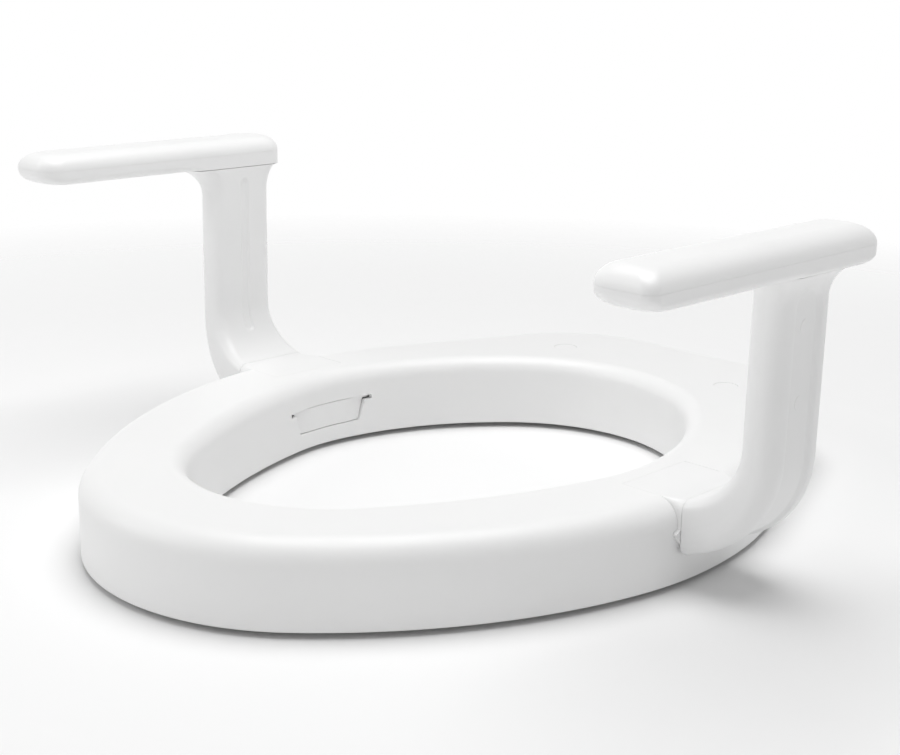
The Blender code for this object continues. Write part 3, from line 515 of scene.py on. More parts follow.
def add_bosses(ring):
    """Screw bosses that hang from the ring's top skin, with their pilot holes."""
    posts, pilots = bmesh.new(), bmesh.new()
    for node, start in ring_screws():
        middle, tip = middle_of(node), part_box(node)[1].z
        root = RING_TOP - 0.5 * WALL
        profile = [(BOSS_RADIUS, start), (BOSS_RADIUS, root - 2.0 * WALL)]
        profile.append((BOSS_RADIUS + BOSS_ROOT_SPREAD, root))
        turned(posts, middle.x, middle.y, profile, BORE_SIDES)
        profile = [(PILOT_RADIUS, start - WALL), (PILOT_RADIUS, tip + FIT)]
        turned(pilots, middle.x, middle.y, profile, PILOT_SIDES)
    cut(ring, posts, "UNION")
    cut(ring, pilots)


def make_ring(plastic):
    bm = bmesh.new()
    add_loft(bm, ring_loops(), ring=True)
    ring = object_from("seat_ring", bm)
    add_bosses(ring)
    tool = bmesh.new()
    for side, name in SIDES:
        pocket = block_outline(HAIRLINE, RING_TOP + WALL, BLOCK_TOP_CORNER)
        prism(tool, pocket, side * (BLOCK_INBOARD - HAIRLINE), side * (RING_HALF_WIDTH + WALL))
        window = tab_outline(TAB_GAP, WINDOW_CORNER)
        back = HOLE_HALF_WIDTH + WALL + WINDOW_REACH
        prism(tool, window, side * (HOLE_HALF_WIDTH - 2.0 * WALL), side * back)
        middle = middle_of(f"bolt_cap_{name}")
        reach = CAP_RADIUS + HAIRLINE
        turned(tool, middle.x, middle.y, [(reach, RING_TOP - 2.0 * WALL), (reach, RING_TOP + WALL)])
    cut(ring, tool)
    soften(ring, SOFT_EDGE)
    finish_piece(ring, plastic, "seat", "seat_plastic", "seat_shell")


def make_base_plate(plastic):
    """The plate that closes the ring from below, with a chamfer round both edges and its holes."""
    low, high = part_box("base_plate")
    inset = WALL + FIT
    edge = PLATE_CHAMFER
    section = [(inset + edge, low.z), (inset, low.z + edge), (inset, high.z - edge), (inset + edge, high.z)]
    loops = []
    for (outer_point, outer_way), (hole_point, hole_way) in ring_walls():
        loop = [(outer_point + outer_way * reach, z) for reach, z in section]
        loop += [(hole_point + hole_way * reach, z) for reach, z in reversed(section)]
        loops.append([(place.x, place.y, z) for place, z in loop])
    bm = bmesh.new()
    add_loft(bm, loops, ring=True)
    plate = object_from("base_cover", bm)
    holes = bmesh.new()
    drills = [(f"base_screw_{number}", CLEARANCE_RADIUS) for number in range(1, BASE_SCREWS + 1)]
    drills += [(f"bumper_{row}_{name}", STEM_CLEARANCE) for row in ("front", "rear") for _, name in SIDES]
    drills += [(f"bolt_sleeve_{name}", BOLT_BORE) for _, name in SIDES]
    for node, radius in drills:
        middle = middle_of(node)
        turned(holes, middle.x, middle.y, [(radius, low.z - WALL), (radius, high.z + WALL)], BORE_SIDES)
    cut(plate, holes)
    finish_piece(plate, plastic, "seat", "base_plastic", "base_plate")


def make_bolt_caps(plastic):
    for _, name in SIDES:
        node = f"bolt_cap_{name}"
        low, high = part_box(node)
        middle = middle_of(node)
        plug = CAP_PLUG_RADIUS
        shoulder = RING_TOP - WALL
        profile = [(plug - CAP_PLUG_CHAMFER, low.z), (plug, low.z + CAP_PLUG_CHAMFER), (plug, shoulder)]
        profile += [(CAP_RADIUS, shoulder), (CAP_RADIUS, high.z - CAP_EDGE)]
        profile += [(CAP_RADIUS - CAP_EDGE_STEP, high.z - CAP_EDGE_STEP), (CAP_RADIUS - CAP_EDGE, high.z)]
        profile.append((CAP_FLAT_RADIUS, high.z))
        bm = bmesh.new()
        turned(bm, middle.x, middle.y, profile)
        finish_piece(object_from(f"cap_{name}", bm), plastic, "seat", "seat_plastic", node)


def make_release_tabs(plastic):
    """The two tabs, each with its face on the curve of the hole's wall and a rib behind it."""
    wall = [point + way * TAB_SINK for _, (point, way) in ring_walls()]
    for side, name in SIDES:
        node = f"release_tab_{name}"
        low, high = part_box(node)
        face = TAB_LOW.x
        bm = bmesh.new()
        outline = tab_outline(0.0, TAB_CORNER, TAB_EAR_LIFT)
        prism(bm, outline, side * (face - TAB_PROUD), side * (face + TAB_THICK))
        tab = object_from(f"tab_{name}", bm)
        core = bmesh.new()
        add_loft(core, [[(place.x, place.y, z) for place in wall] for z in (low.z - WALL, high.z + WALL)])
        cut(tab, core)
        rib = bmesh.new()
        outline = [(-RIB_HALF, RIB_LOW), (RIB_HALF, RIB_LOW), (RIB_HALF, RIB_HIGH), (-RIB_HALF, RIB_HIGH)]
        outline = [(ARM_Y + y, low.z + z) for y, z in outline]
        prism(rib, outline, side * (face + 0.5 * TAB_THICK), side * (face + 2.0 * TAB_THICK))
        cut(tab, rib, "UNION")
        soften(tab, TAB_SOFT_EDGE)
        finish_piece(tab, plastic, f"{name}_tab", "seat_plastic", node)


# ======== arm
def elbow_centres():
    inner = Vector((POST_INNER - ELBOW_INNER_RADIUS, RING_TOP + ELBOW_INNER_RADIUS))
    outer = Vector((POST_OUTER - ELBOW_OUTER_RADIUS, ELBOW_BOTTOM + ELBOW_OUTER_RADIUS))
    return inner, outer


def arm_stations():
    """Sections from the ring's side up to the armrest.

    Each is (inner point, outer point, front reach, rear reach, corner radius, inner run, outer run);
    points are (x, z), and a run is the height of a point, carried on as arc length round the elbow.
    """
    inner_centre, outer_centre = elbow_centres()
    stations = []
    for i in range(ELBOW_STEPS + 1):
        share = i / ELBOW_STEPS
        turn = ELBOW_START + (0.5 * math.pi - ELBOW_START) * share
        along = Vector((math.sin(turn), -math.cos(turn)))
        reach = FOOT_HALF_WIDTH + (POST_HALF_WIDTH - FOOT_HALF_WIDTH) * smoothstep(share)
        corner = FOOT_CORNER + (POST_CORNER - FOOT_CORNER) * smoothstep(share)
        left = 0.5 * math.pi - turn
        inner = inner_centre + along * ELBOW_INNER_RADIUS
        outer = outer_centre + along * ELBOW_OUTER_RADIUS
        inner_run = inner_centre.y - ELBOW_INNER_RADIUS * left
        outer_run = outer_centre.y - ELBOW_OUTER_RADIUS * left
        stations.append((inner, outer, reach, reach, corner, inner_run, outer_run))
    flare_low = POST_TOP - FLARE_HEIGHT
    for i in range(1, POST_STEPS):
        share = i / POST_STEPS
        inner = Vector((POST_INNER, inner_centre.y + (flare_low - inner_centre.y) * share))
        outer = Vector((POST_OUTER, outer_centre.y + (flare_low - outer_centre.y) * share))
        stations.append((inner, outer, POST_HALF_WIDTH, POST_HALF_WIDTH, POST_CORNER, inner.y, outer.y))
    for i in range(FLARE_STEPS + 1):
        turn = 0.5 * math.pi * i / FLARE_STEPS
        z = flare_low + FLARE_HEIGHT * math.sin(turn)
        grow = 1.0 - math.cos(turn)
        inner = Vector((POST_INNER, z))
        outer = Vector((POST_OUTER + FLARE_OUTER * grow, z))
        front = POST_HALF_WIDTH + FLARE_FRONT * grow
        rear = POST_HALF_WIDTH + FLARE_REAR * grow
        corner = POST_CORNER + (FLARE_CORNER - POST_CORNER) * grow
        stations.append((inner, outer, front, rear, corner, z, z))
    return stations


def hollow_depth(across, run, half_width, softness, depth, top, bottom=None):
    """Depth of a round-ended hollow at a point of a face."""
    beyond = max(run - (top - half_width), 0.0)
    if bottom is not None:
        beyond = max(beyond, (bottom + half_width) - run)
    distance = math.hypot(across, beyond)
    return depth * smoothstep((half_width + 0.5 * softness - distance) / softness)


def flute(across, run):
    widen = 1.0 + FLUTE_WIDENING * smoothstep((FLUTE_WIDENS_BELOW - run) / FLUTE_WIDENS_OVER)
    return hollow_depth(across / widen, run, FLUTE_HALF_WIDTH, FLUTE_SOFTNESS, FLUTE_DEPTH, FLUTE_TOP)


def groove(across, run):
    return hollow_depth(
        across, run, GROOVE_HALF_WIDTH, GROOVE_SOFTNESS, GROOVE_DEPTH, GROOVE_TOP, GROOVE_BOTTOM)


def half_section(station, face, hollow):
    """Channel section of one upright shell; face 0 is the inner shell, face 1 the outer."""
    near = station[face]
    far = station[1 - face]
    depth_way = (near - far).normalized()
    half_depth = 0.5 * (near - far).length
    middle = (near + far) * 0.5
    front, rear, corner = station[2:5]
    run = station[5 + face]
    seam = 0.5 * SHELL_SEAM
    skin = [(-front, seam, 0.0, -1), (-front, 0.5 * (half_depth - corner) + seam, 0.0, -1)]
    for i in range(CORNER_STEPS + 1):
        turn = 0.5 * math.pi * i / CORNER_STEPS
        y = -front + corner - corner * math.cos(turn)
        skin.append((y, half_depth - corner + corner * math.sin(turn), turn, -1))
    span = front + rear - 2.0 * corner
    for i in range(1, FACE_STEPS):
        y = -front + corner + span * i / FACE_STEPS
        skin.append((y, half_depth - hollow(y, run), 0.5 * math.pi, 1))
    for i in range(CORNER_STEPS + 1):
        turn = 0.5 * math.pi * (1.0 - i / CORNER_STEPS)
        y = rear - corner + corner * math.cos(turn)
        skin.append((y, half_depth - corner + corner * math.sin(turn), turn, 1))
    skin += [(rear, 0.5 * (half_depth - corner) + seam, 0.0, 1), (rear, seam, 0.0, 1)]
    points = [(y, depth) for y, depth, _, _ in skin]
    for y, depth, turn, sign in reversed(skin):
        inside = depth - ARM_WALL * math.sin(turn)
        points.append((y - sign * ARM_WALL * math.cos(turn), max(inside, seam)))
    placed = []
    for y, depth in points:
        place = middle + depth_way * depth
        placed.append((place.x, ARM_Y + y, place.y))
    return placed


def mirrored(points, side):
    return [(side * x, y, z) for x, y, z in points]


def add_fittings(piece, side, face):
    """Locating pegs on the outer shell, and their sockets on the inner shell."""
    middle = 0.5 * (POST_INNER + POST_OUTER)
    clear = CORE_HALF_THICK + FIT
    posts = bmesh.new()
    for z in PEG_HEIGHTS:
        if face == 1:
            shoulder = middle + clear
            tip = shoulder - PEG_LENGTH
            profile = [(PEG_RADIUS - FIT, tip), (PEG_RADIUS, tip + FIT), (PEG_RADIUS, shoulder)]
            profile += [(BOSS_RADIUS, shoulder), (BOSS_RADIUS, POST_OUTER - FITTING_ROOT)]
        else:
            profile = [(BOSS_RADIUS, POST_INNER + FITTING_ROOT), (BOSS_RADIUS, middle - clear)]
        crosswise(posts, side, z, profile)
    cut(piece, posts, "UNION")
    if face == 0:
        bores = bmesh.new()
        for z in PEG_HEIGHTS:
            bore = PEG_RADIUS + FIT
            crosswise(bores, side, z, [(bore, POST_INNER + PEG_SOCKET_FLOOR), (bore, middle)])
        cut(piece, bores)


def make_uprights(plastic):
    stations = arm_stations()
    for side, name in SIDES:
        for face, label, hollow in ((0, "inner", groove), (1, "outer", flute)):
            bm = bmesh.new()
            loops = [mirrored(half_section(station, face, hollow), side) for station in stations]
            rows = add_loft(bm, loops, caps=False)
            close_channel(bm, rows[0])
            close_channel(bm, rows[-1])
            piece = object_from(f"upright_{label}_{name}", bm)
            add_fittings(piece, side, face)
            node = f"upright_{label}_shell_{name}"
            finish_piece(piece, plastic, f"{name}_arm", "arm_plastic", node)


def block_rooms(side, name, end):
    """The slot for the steel bar, and the counterbored holes of the screws that hold it."""
    bm = bmesh.new()
    low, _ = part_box(f"arm_core_{name}")
    reach = CORE_HALF_WIDTH + FIT
    floor, roof = low.z - FIT, low.z + 2.0 * CORE_HALF_THICK + FIT + CORE_SLOT_RISE
    slot = [(ARM_Y - reach, floor), (ARM_Y + reach, floor), (ARM_Y + reach, roof), (ARM_Y - reach, roof)]
    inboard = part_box("arm_core_right")[0].x - FIT
    prism(bm, slot, side * inboard, side * (end + WALL))
    for number in (1, 2):
        node = f"foot_screw_{number}_{name}"
        middle = middle_of(node)
        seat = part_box(node)[0].z + LARGE_HEAD + FIT
        bore = LARGE_SCREW + FIT
        profile = [(LARGE_HEAD_RADIUS + FIT, FOOT_LOW.z - WALL), (LARGE_HEAD_RADIUS + FIT, seat)]
        turned(bm, middle.x, middle.y, profile + [(bore, seat), (bore, low.z)], BORE_SIDES)
    return bm


def make_foot_blocks(plastic):
    """The block's flat top is flush with the ring, then follows the elbow's inner curve."""
    centre = elbow_centres()[0]
    end = FOOT_HIGH.x + BLOCK_OVERRUN
    shares = [i / BLOCK_EDGE_STEPS for i in range(BLOCK_EDGE_STEPS + 1)]
    xs = [BLOCK_INBOARD]
    xs += [RING_HALF_WIDTH - RING_OUTER_EDGE * (1.0 - share) for share in shares]
    xs.append(end)
    for side, name in SIDES:
        loops = []
        for x in xs:
            lift = centre.y - math.sqrt(ELBOW_INNER_RADIUS ** 2 - max(x - centre.x, 0.0) ** 2) - RING_TOP
            share = smoothstep((x - (RING_HALF_WIDTH - RING_OUTER_EDGE)) / RING_OUTER_EDGE)
            radius = BLOCK_TOP_CORNER + (FOOT_CORNER - BLOCK_TOP_CORNER) * share
            outline = block_outline(0.0, RING_TOP + lift, radius)
            loops.append([(side * x, y, z) for y, z in outline])
        bm = bmesh.new()
        add_loft(bm, loops)
        block = object_from(f"foot_{name}", bm)
        nose = bmesh.new()
        nose_outline = block_outline(-HAIRLINE, NOSE_TOP, NOSE_CORNER)
        prism(nose, nose_outline, side * FOOT_LOW.x, side * (BLOCK_INBOARD + NOSE_OVERLAP))
        cut(block, nose, "UNION")
        cut(block, block_rooms(side, name, end))
        finish_piece(block, plastic, f"{name}_arm", "arm_plastic", f"foot_block_{name}")


# ======== armrest
def rest_plan(inset):
    """Rounded-rectangle plan of the armrest, moved in by an inset, as (x, y) points."""
    share = inset / REST_UPPER_WIDTH
    radii = [radius + (REST_TOP_CORNER - radius) * share for radius in REST_CORNERS]
    x_low, x_high = REST_LOW.x + inset, REST_HIGH.x - inset
    y_low, y_high = REST_LOW.y + inset, REST_HIGH.y - inset
    arcs = []
    for quarter, radius in enumerate(radii):
        x = x_low + radius if quarter in (1, 2) else x_high - radius
        y = y_high - radius if quarter < 2 else y_low + radius
        start = 0.5 * math.pi * quarter
        arcs.append(arc_points((x, y), radius, start, start + 0.5 * math.pi, REST_CORNER_STEPS))
    plan = []
    for quarter, points in enumerate(arcs):
        here = Vector(points[-1])
        after = Vector(arcs[(quarter + 1) % 4][0])
        steps = REST_LONG_STEPS if quarter in (1, 3) else REST_SHORT_STEPS
        plan += [Vector(point) for point in points]
        plan += [here.lerp(after, i / steps) for i in range(1, steps)]
    return plan


def beyond_flare(point):
    """Distance in plan from a point to the rounded top end of the upright's flare, zero inside it."""
    x_low, x_high = REST_LOW.x, POST_OUTER + FLARE_OUTER
    y_low = ARM_Y - POST_HALF_WIDTH - FLARE_FRONT
    y_high = ARM_Y + POST_HALF_WIDTH + FLARE_REAR
    dx = abs(point.x - 0.5 * (x_low + x_high)) - 0.5 * (x_high - x_low) + FLARE_CORNER
    dy = abs(point.y - 0.5 * (y_low + y_high)) - 0.5 * (y_high - y_low) + FLARE_CORNER
    return max(math.hypot(max(dx, 0.0), max(dy, 0.0)) - FLARE_CORNER, 0.0)


def lower_radii():
    """Radius of the armrest's lower edge at each point of its plan."""
    radii = []
    for point in rest_plan(0.0):
        forward = smoothstep((REST_LOW.y + REST_FRONT_BLEND - point.y) / REST_FRONT_BLEND)
        full = REST_LOWER_SIDE + (REST_LOWER_FRONT - REST_LOWER_SIDE) * forward
        radii.append(max(min(full, beyond_flare(point)), REST_LOWER_LEAST))
    for _ in range(REST_EASE_PASSES):
        around = zip(radii[-1:] + radii[:-1], radii, radii[1:] + radii[:1])
        radii = [0.25 * before + 0.5 * here + 0.25 * after for before, here, after in around]
    return radii


def lower_loop(side, turn, radii):
    """The armrest's outline at one angle below the horizontal of its rounded lower edge."""
    loop = []
    for wide, narrow, radius in zip(rest_plan(0.0), rest_plan(REST_LOWER_FRONT), radii):
        place = wide.lerp(narrow, radius * (1.0 - math.cos(turn)) / REST_LOWER_FRONT)
        loop.append((side * place.x, place.y, REST_LOW.z + radius * (1.0 - math.sin(turn))))
    return loop


def upper_loop(side, turn, wall):
    """The outline at one angle above the horizontal of the upper edge; the cavity's lies a wall inside."""
    inset = REST_UPPER_WIDTH - (REST_UPPER_WIDTH - wall) * math.cos(turn)
    z = REST_HIGH.z - REST_UPPER_HEIGHT + (REST_UPPER_HEIGHT - wall) * math.sin(turn)
    return [(side * point.x, point.y, z) for point in rest_plan(inset)]


def rest_screws(name):
    return [f"armrest_screw_{number}_{name}" for number in (1, 2, 3)]


def rest_base_rooms(side, name):
    """The slot for the steel bar and the screw holes; the rear screw has no counterbore."""
    bm = bmesh.new()
    bar = 0.5 * (POST_INNER + POST_OUTER)
    half, reach = CORE_HALF_THICK + FIT, CORE_HALF_WIDTH + FIT
    below, above = REST_LOW.z - WALL, REST_PARTING + WALL
    slot = [(ARM_Y - reach, below), (ARM_Y + reach, below), (ARM_Y + reach, above), (ARM_Y - reach, above)]
    prism(bm, slot, side * (bar - half), side * (bar + half))
    for node in rest_screws(name):
        middle, low = middle_of(node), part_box(node)[0].z
        profile = [(CLEARANCE_RADIUS, below), (CLEARANCE_RADIUS, above)]
        if low > REST_LOW.z - FIT:
            seat = low + SMALL_HEAD + FIT
            head = SMALL_HEAD_RADIUS + FIT
            profile = [(head, below), (head, seat), (CLEARANCE_RADIUS, seat), (CLEARANCE_RADIUS, above)]
        turned(bm, middle.x, middle.y, profile, BORE_SIDES)
    return bm


def add_rest_bosses(cover, name):
    """Screw bosses under the cover's top, with their pilot holes."""
    posts, pilots = bmesh.new(), bmesh.new()
    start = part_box(f"armrest_cover_{name}")[0].z + BRACKET_THICK + FIT
    root = REST_HIGH.z - 0.5 * REST_WALL
    for node in rest_screws(name):
        middle = middle_of(node)
        turned(posts, middle.x, middle.y, [(BOSS_RADIUS, start), (BOSS_RADIUS, root)], BORE_SIDES)
        profile = [(PILOT_RADIUS, start - REST_WALL), (PILOT_RADIUS, REST_HIGH.z - REST_WALL)]
        turned(pilots, middle.x, middle.y, profile, PILOT_SIDES)
    cut(cover, posts, "UNION")
    cut(cover, pilots)


def make_rest_base(side, name, plastic):
    radii = lower_radii()
    turns = [0.5 * math.pi * (1.0 - i / REST_LOWER_STEPS) for i in range(REST_LOWER_STEPS + 1)]
    loops = [lower_loop(side, turn, radii) for turn in turns]
    rim = REST_PARTING - 0.5 * REST_SEAM
    loops.append([(side * point.x, point.y, rim) for point in rest_plan(0.0)])
    bm = bmesh.new()
    add_loft(bm, loops)
    base = object_from(f"rest_base_{name}", bm)
    cut(base, rest_base_rooms(side, name))
    finish_piece(base, plastic, f"{name}_arm", "arm_plastic", f"armrest_base_{name}")


def upper_loops(side, wall, steps):
    """The outlines of the cover's outer skin, or of its cavity a wall inside, from the parting up."""
    rise = max(REST_PARTING + 0.5 * REST_SEAM - (REST_HIGH.z - REST_UPPER_HEIGHT), 0.0)
    start = math.asin(rise / (REST_UPPER_HEIGHT - wall))
    return [upper_loop(side, start + (0.5 * math.pi - start) * i / steps, wall) for i in range(steps + 1)]


def make_rest_cover(side, name, plastic):
    skin = upper_loops(side, 0.0, REST_UPPER_STEPS)
    cavity = upper_loops(side, REST_WALL, REST_CAVITY_STEPS)
    bm = bmesh.new()
    outer_rows = add_loft(bm, skin, caps=False)
    inner_rows = add_loft(bm, cavity, caps=False)
    bm.faces.new(outer_rows[-1])
    bm.faces.new(inner_rows[-1])
    count = len(inner_rows[0])
    for i in range(count):
        j = (i + 1) % count
        bm.faces.new((outer_rows[0][i], outer_rows[0][j], inner_rows[0][j], inner_rows[0][i]))
    cover = object_from(f"rest_cover_{name}", bm)
    add_rest_bosses(cover, name)
    finish_piece(cover, plastic, f"{name}_arm", "arm_plastic", f"armrest_cover_{name}")


def make_armrests(plastic):
    for side, name in SIDES:
        make_rest_base(side, name, plastic)
        make_rest_cover(side, name, plastic)


# ======== rubber and steel pieces
def make_bumpers(rubber):
    for row in ("front", "rear"):
        for _, name in SIDES:
            node = f"bumper_{row}_{name}"
            low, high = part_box(node)
            middle = middle_of(node)
            reach = 0.5 * (high.x - low.x)
            pad = RING_UNDERSIDE
            stem = BUMPER_STEM_SHARE * reach
            edge = BUMPER_LOWER_EDGE
            profile = [(share * reach, z) for share, z in BUMPER_SOLE]
            profile += arc_points((reach - edge, edge), edge, 1.5 * math.pi, 2.0 * math.pi, BUMPER_EDGE_STEPS)
            profile += [(reach, pad - BUMPER_UPPER_EDGE), (reach - BUMPER_UPPER_EDGE, pad), (stem, pad)]
            profile += [(stem, high.z - BUMPER_STEM_EDGE), (stem - BUMPER_STEM_EDGE, high.z)]
            bm = bmesh.new()
            turned(bm, middle.x, middle.y, profile, BUMPER_SIDES)
            piece = object_from(f"foot_pad_{row}_{name}", bm)
            finish_piece(piece, rubber, "seat", "rubber", node)


def screw_rows(length, shank, head, head_height):
    """(radius, z, height of the thread's ridge) from the crown of the head to the point."""
    turns = [0.5 * math.pi * i / HEAD_STEPS for i in range(1, HEAD_STEPS + 1)]
    rows = [(head * math.sin(turn), -head_height * math.cos(turn) ** HEAD_FLATNESS, 0.0) for turn in turns]
    root = shank - THREAD_DEPTH
    rows.append((root, 0.0, 0.0))
    steps = round(length / THREAD_PITCH * THREAD_STEPS)
    for i in range(1, steps + 1):
        z = length * i / steps
        taper = min((length - z) / (POINT_TURNS * THREAD_PITCH), 1.0)
        radius = root * (POINT_SHARE + (1.0 - POINT_SHARE) * taper)
        rows.append((radius, z, THREAD_DEPTH * min(z / THREAD_PITCH, taper)))
    return rows


def screw_mesh(length, shank, head, head_height):
    """A pan-head screw pointing up from z = 0, its head's bearing face: helical thread, cross recess."""
    loops = []
    for radius, z, ridge in screw_rows(length, shank, head, head_height):
        loop = []
        for i in range(SCREW_SIDES):
            phase = (z / THREAD_PITCH - i / SCREW_SIDES) % 1.0
            reach = radius + ridge * (1.0 - abs(2.0 * phase - 1.0)) ** THREAD_SHARPNESS
            turn = 2.0 * math.pi * i / SCREW_SIDES
            loop.append((reach * math.cos(turn), reach * math.sin(turn), z))
        loops.append(loop)
    bm = bmesh.new()
    add_loft(bm, loops)
    screw = object_from("screw", bm)
    half, wide = CROSS_REACH * head, CROSS_HALF_WIDTH * head
    blade_plan = [(-half, -wide), (half, -wide), (half, wide), (-half, wide)]
    for turn in (0.0, 0.5 * math.pi):
        spin = Matrix.Rotation(turn, 4, "Z")
        sections = []
        for z, share in ((-head_height - FIT, 1.0), (-CROSS_FLOOR * head_height, CROSS_TAPER)):
            sections.append([spin @ Vector((u * share, v, z)) for u, v in blade_plan])
        blade = bmesh.new()
        add_loft(blade, sections)
        cut(screw, blade)
    mesh = screw.data
    bpy.data.objects.remove(screw, do_unlink=True)
    return mesh


def make_screws(steel):
    """Every screw is its own piece; those of one size and length share a mesh."""
    made = {}
    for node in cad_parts:
        if "_screw_" not in node:
            continue
        low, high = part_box(node)
        middle = middle_of(node)
        size = (SMALL_SCREW, SMALL_HEAD_RADIUS, SMALL_HEAD)
        if node.startswith("foot"):
            size = (LARGE_SCREW, LARGE_HEAD_RADIUS, LARGE_HEAD)
        length = round(high.z - low.z - size[2], 5)
        if (length, size) not in made:
            made[(length, size)] = screw_mesh(length, *size)
        piece = bpy.data.objects.new(f"fine_{node}", made[(length, size)])
        bpy.context.scene.collection.objects.link(piece)
        piece.location = (middle.x, middle.y, low.z + size[2])
        body = "seat" if node.startswith(("base", "socket")) else f"{node.rsplit('_', 1)[-1]}_arm"
        finish_piece(piece, steel, body, "screw_steel", node)


# ======== materials
# Plastics: two close tones, roughness, depth of the grain, depth of the sink marks.
SEAT_PLASTIC = ((0.865, 0.865, 0.862), (0.848, 0.849, 0.847), 0.38, 0.00004, 0.00012)
ARM_PLASTIC = ((0.862, 0.862, 0.860), (0.845, 0.846, 0.845), 0.34, 0.00003, 0.00010)
BASE_PLASTIC = ((0.72, 0.72, 0.71), (0.68, 0.68, 0.67), 0.52, 0.00006, 0.00010)
SOCKET_PLASTIC = ((0.66, 0.66, 0.65), (0.62, 0.62, 0.61), 0.52, 0.00006, 0.00010)
PLASTIC_IOR = 1.49
# Steels: two close tones, roughness, stretch of the streaks.
DRAWN_STEEL = ((0.56, 0.57, 0.58), (0.49, 0.50, 0.51), 0.34, (1.0, 1.0, 0.05))
TURNED_STEEL = ((0.70, 0.70, 0.71), (0.62, 0.62, 0.63), 0.27, (1.0, 1.0, 6.0))
RUBBER_CLEAN = (0.052, 0.052, 0.054)
RUBBER_DUSTY = (0.085, 0.084, 0.082)
FLOOR_LIGHT = (0.90, 0.90, 0.90)
FLOOR_SHADE = (0.89, 0.89, 0.89)
FLOOR_SPECULAR = 0.1


class Shader:
    """A Principled material and short ways to add nodes to it."""

    def __init__(self, name, roughness, metallic=0.0):
        self.material = bpy.data.materials.new(name)
        self.material.use_nodes = True
        self.nodes = self.material.node_tree.nodes
        self.links = self.material.node_tree.links
        self.principled = self.nodes["Principled BSDF"]
        self.principled.inputs["Roughness"].default_value = roughness
        self.principled.inputs["Metallic"].default_value = metallic
        self.place = self.nodes.new("ShaderNodeTexCoord").outputs["Object"]

    def noise(self, scale, detail, roughness=0.5, stretch=None):
        vector = self.place
        if stretch:
            mapping = self.nodes.new("ShaderNodeMapping")
            mapping.inputs["Scale"].default_value = stretch
            self.links.new(vector, mapping.inputs["Vector"])
            vector = mapping.outputs["Vector"]
        node = self.nodes.new("ShaderNodeTexNoise")
        node.inputs["Scale"].default_value = scale
        node.inputs["Detail"].default_value = detail
        node.inputs["Roughness"].default_value = roughness
        self.links.new(vector, node.inputs["Vector"])
        return node.outputs["Fac"]

    def cells(self, scale):
        node = self.nodes.new("ShaderNodeTexVoronoi")
        node.inputs["Scale"].default_value = scale
        self.links.new(self.place, node.inputs["Vector"])
        return node.outputs["Distance"]

    def spread(self, value, low, high, source_low=0.3, source_high=0.7):
        node = self.nodes.new("ShaderNodeMapRange")
        limits = {"From Min": source_low, "From Max": source_high, "To Min": low, "To Max": high}
        for key, number in limits.items():
            node.inputs[key].default_value = number
        self.links.new(value, node.inputs["Value"])
        return node.outputs["Result"]

    def mix(self, share, first, second):
        node = self.nodes.new("ShaderNodeMix")
        node.data_type = "RGBA"
        node.inputs["A"].default_value = (*first, 1.0)
        node.inputs["B"].default_value = (*second, 1.0)
        self.links.new(share, node.inputs["Factor"])
        return node.outputs["Result"]

    def bump(self, height, distance, strength=1.0, before=None):
        node = self.nodes.new("ShaderNodeBump")
        node.inputs["Strength"].default_value = strength
        node.inputs["Distance"].default_value = distance
        self.links.new(height, node.inputs["Height"])
        if before:
            self.links.new(before, node.inputs["Normal"])
        return node.outputs["Normal"]

    def give(self, socket, value):
        self.links.new(value, self.principled.inputs[socket])


def moulded_plastic(name, light, shade, roughness, grain_depth, wave_depth):
    """Injection-moulded plastic: spark-eroded grain, slow sink marks, and faint flow clouds in the colour."""
    shader = Shader(name, roughness)
    clouds = shader.noise(scale=9.0, detail=3.0, roughness=0.55)
    shader.give("Base Color", shader.mix(shader.spread(clouds, 0.0, 1.0), light, shade))
    polish = shader.noise(scale=38.0, detail=4.0, roughness=0.6)
    shader.give("Roughness", shader.spread(polish, roughness - 0.05, roughness + 0.06))
    waves = shader.bump(shader.noise(scale=16.0, detail=1.0), wave_depth)
    pits = shader.noise(scale=2600.0, detail=2.0, roughness=0.6)
    shader.give("Normal", shader.bump(pits, grain_depth, before=waves))
    shader.principled.inputs["IOR"].default_value = PLASTIC_IOR
    return shader.material


def rubber_material():
    """Dark rubber, dusty in patches, with a fine cell texture."""
    shader = Shader("soft_rubber", 0.78)
    dust = shader.noise(scale=120.0, detail=5.0, roughness=0.65)
    shader.give("Base Color", shader.mix(shader.spread(dust, 0.0, 1.0), RUBBER_CLEAN, RUBBER_DUSTY))
    shader.give("Roughness", shader.spread(dust, 0.68, 0.86))
    shader.give("Normal", shader.bump(shader.cells(1900.0), distance=0.00006, strength=0.8))
    return shader.material


def steel_material(name, light, shade, roughness, stretch):
    """Drawn or turned steel: fine streaks along or round the piece."""
    shader = Shader(name, roughness, 1.0)
    streaks = shader.noise(scale=900.0, detail=3.0, roughness=0.6, stretch=stretch)
    stains = shader.noise(scale=60.0, detail=4.0, roughness=0.6)
    shader.give("Base Color", shader.mix(shader.spread(stains, 0.0, 1.0), light, shade))
    shader.give("Roughness", shader.spread(streaks, roughness - 0.08, roughness + 0.12))
    shader.give("Normal", shader.bump(streaks, distance=0.00002, strength=0.6))
    return shader.material


def paint_cad_nodes(socket, steel):
    """Give the CAD nodes that still show their material."""
    materials = {"arm_socket": socket, "bolt_sleeve": socket, "arm_core": steel}
    for node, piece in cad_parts.items():
        for start, material in materials.items():
            if node.startswith(start):
                for slot in piece.material_slots:
                    slot.material = material


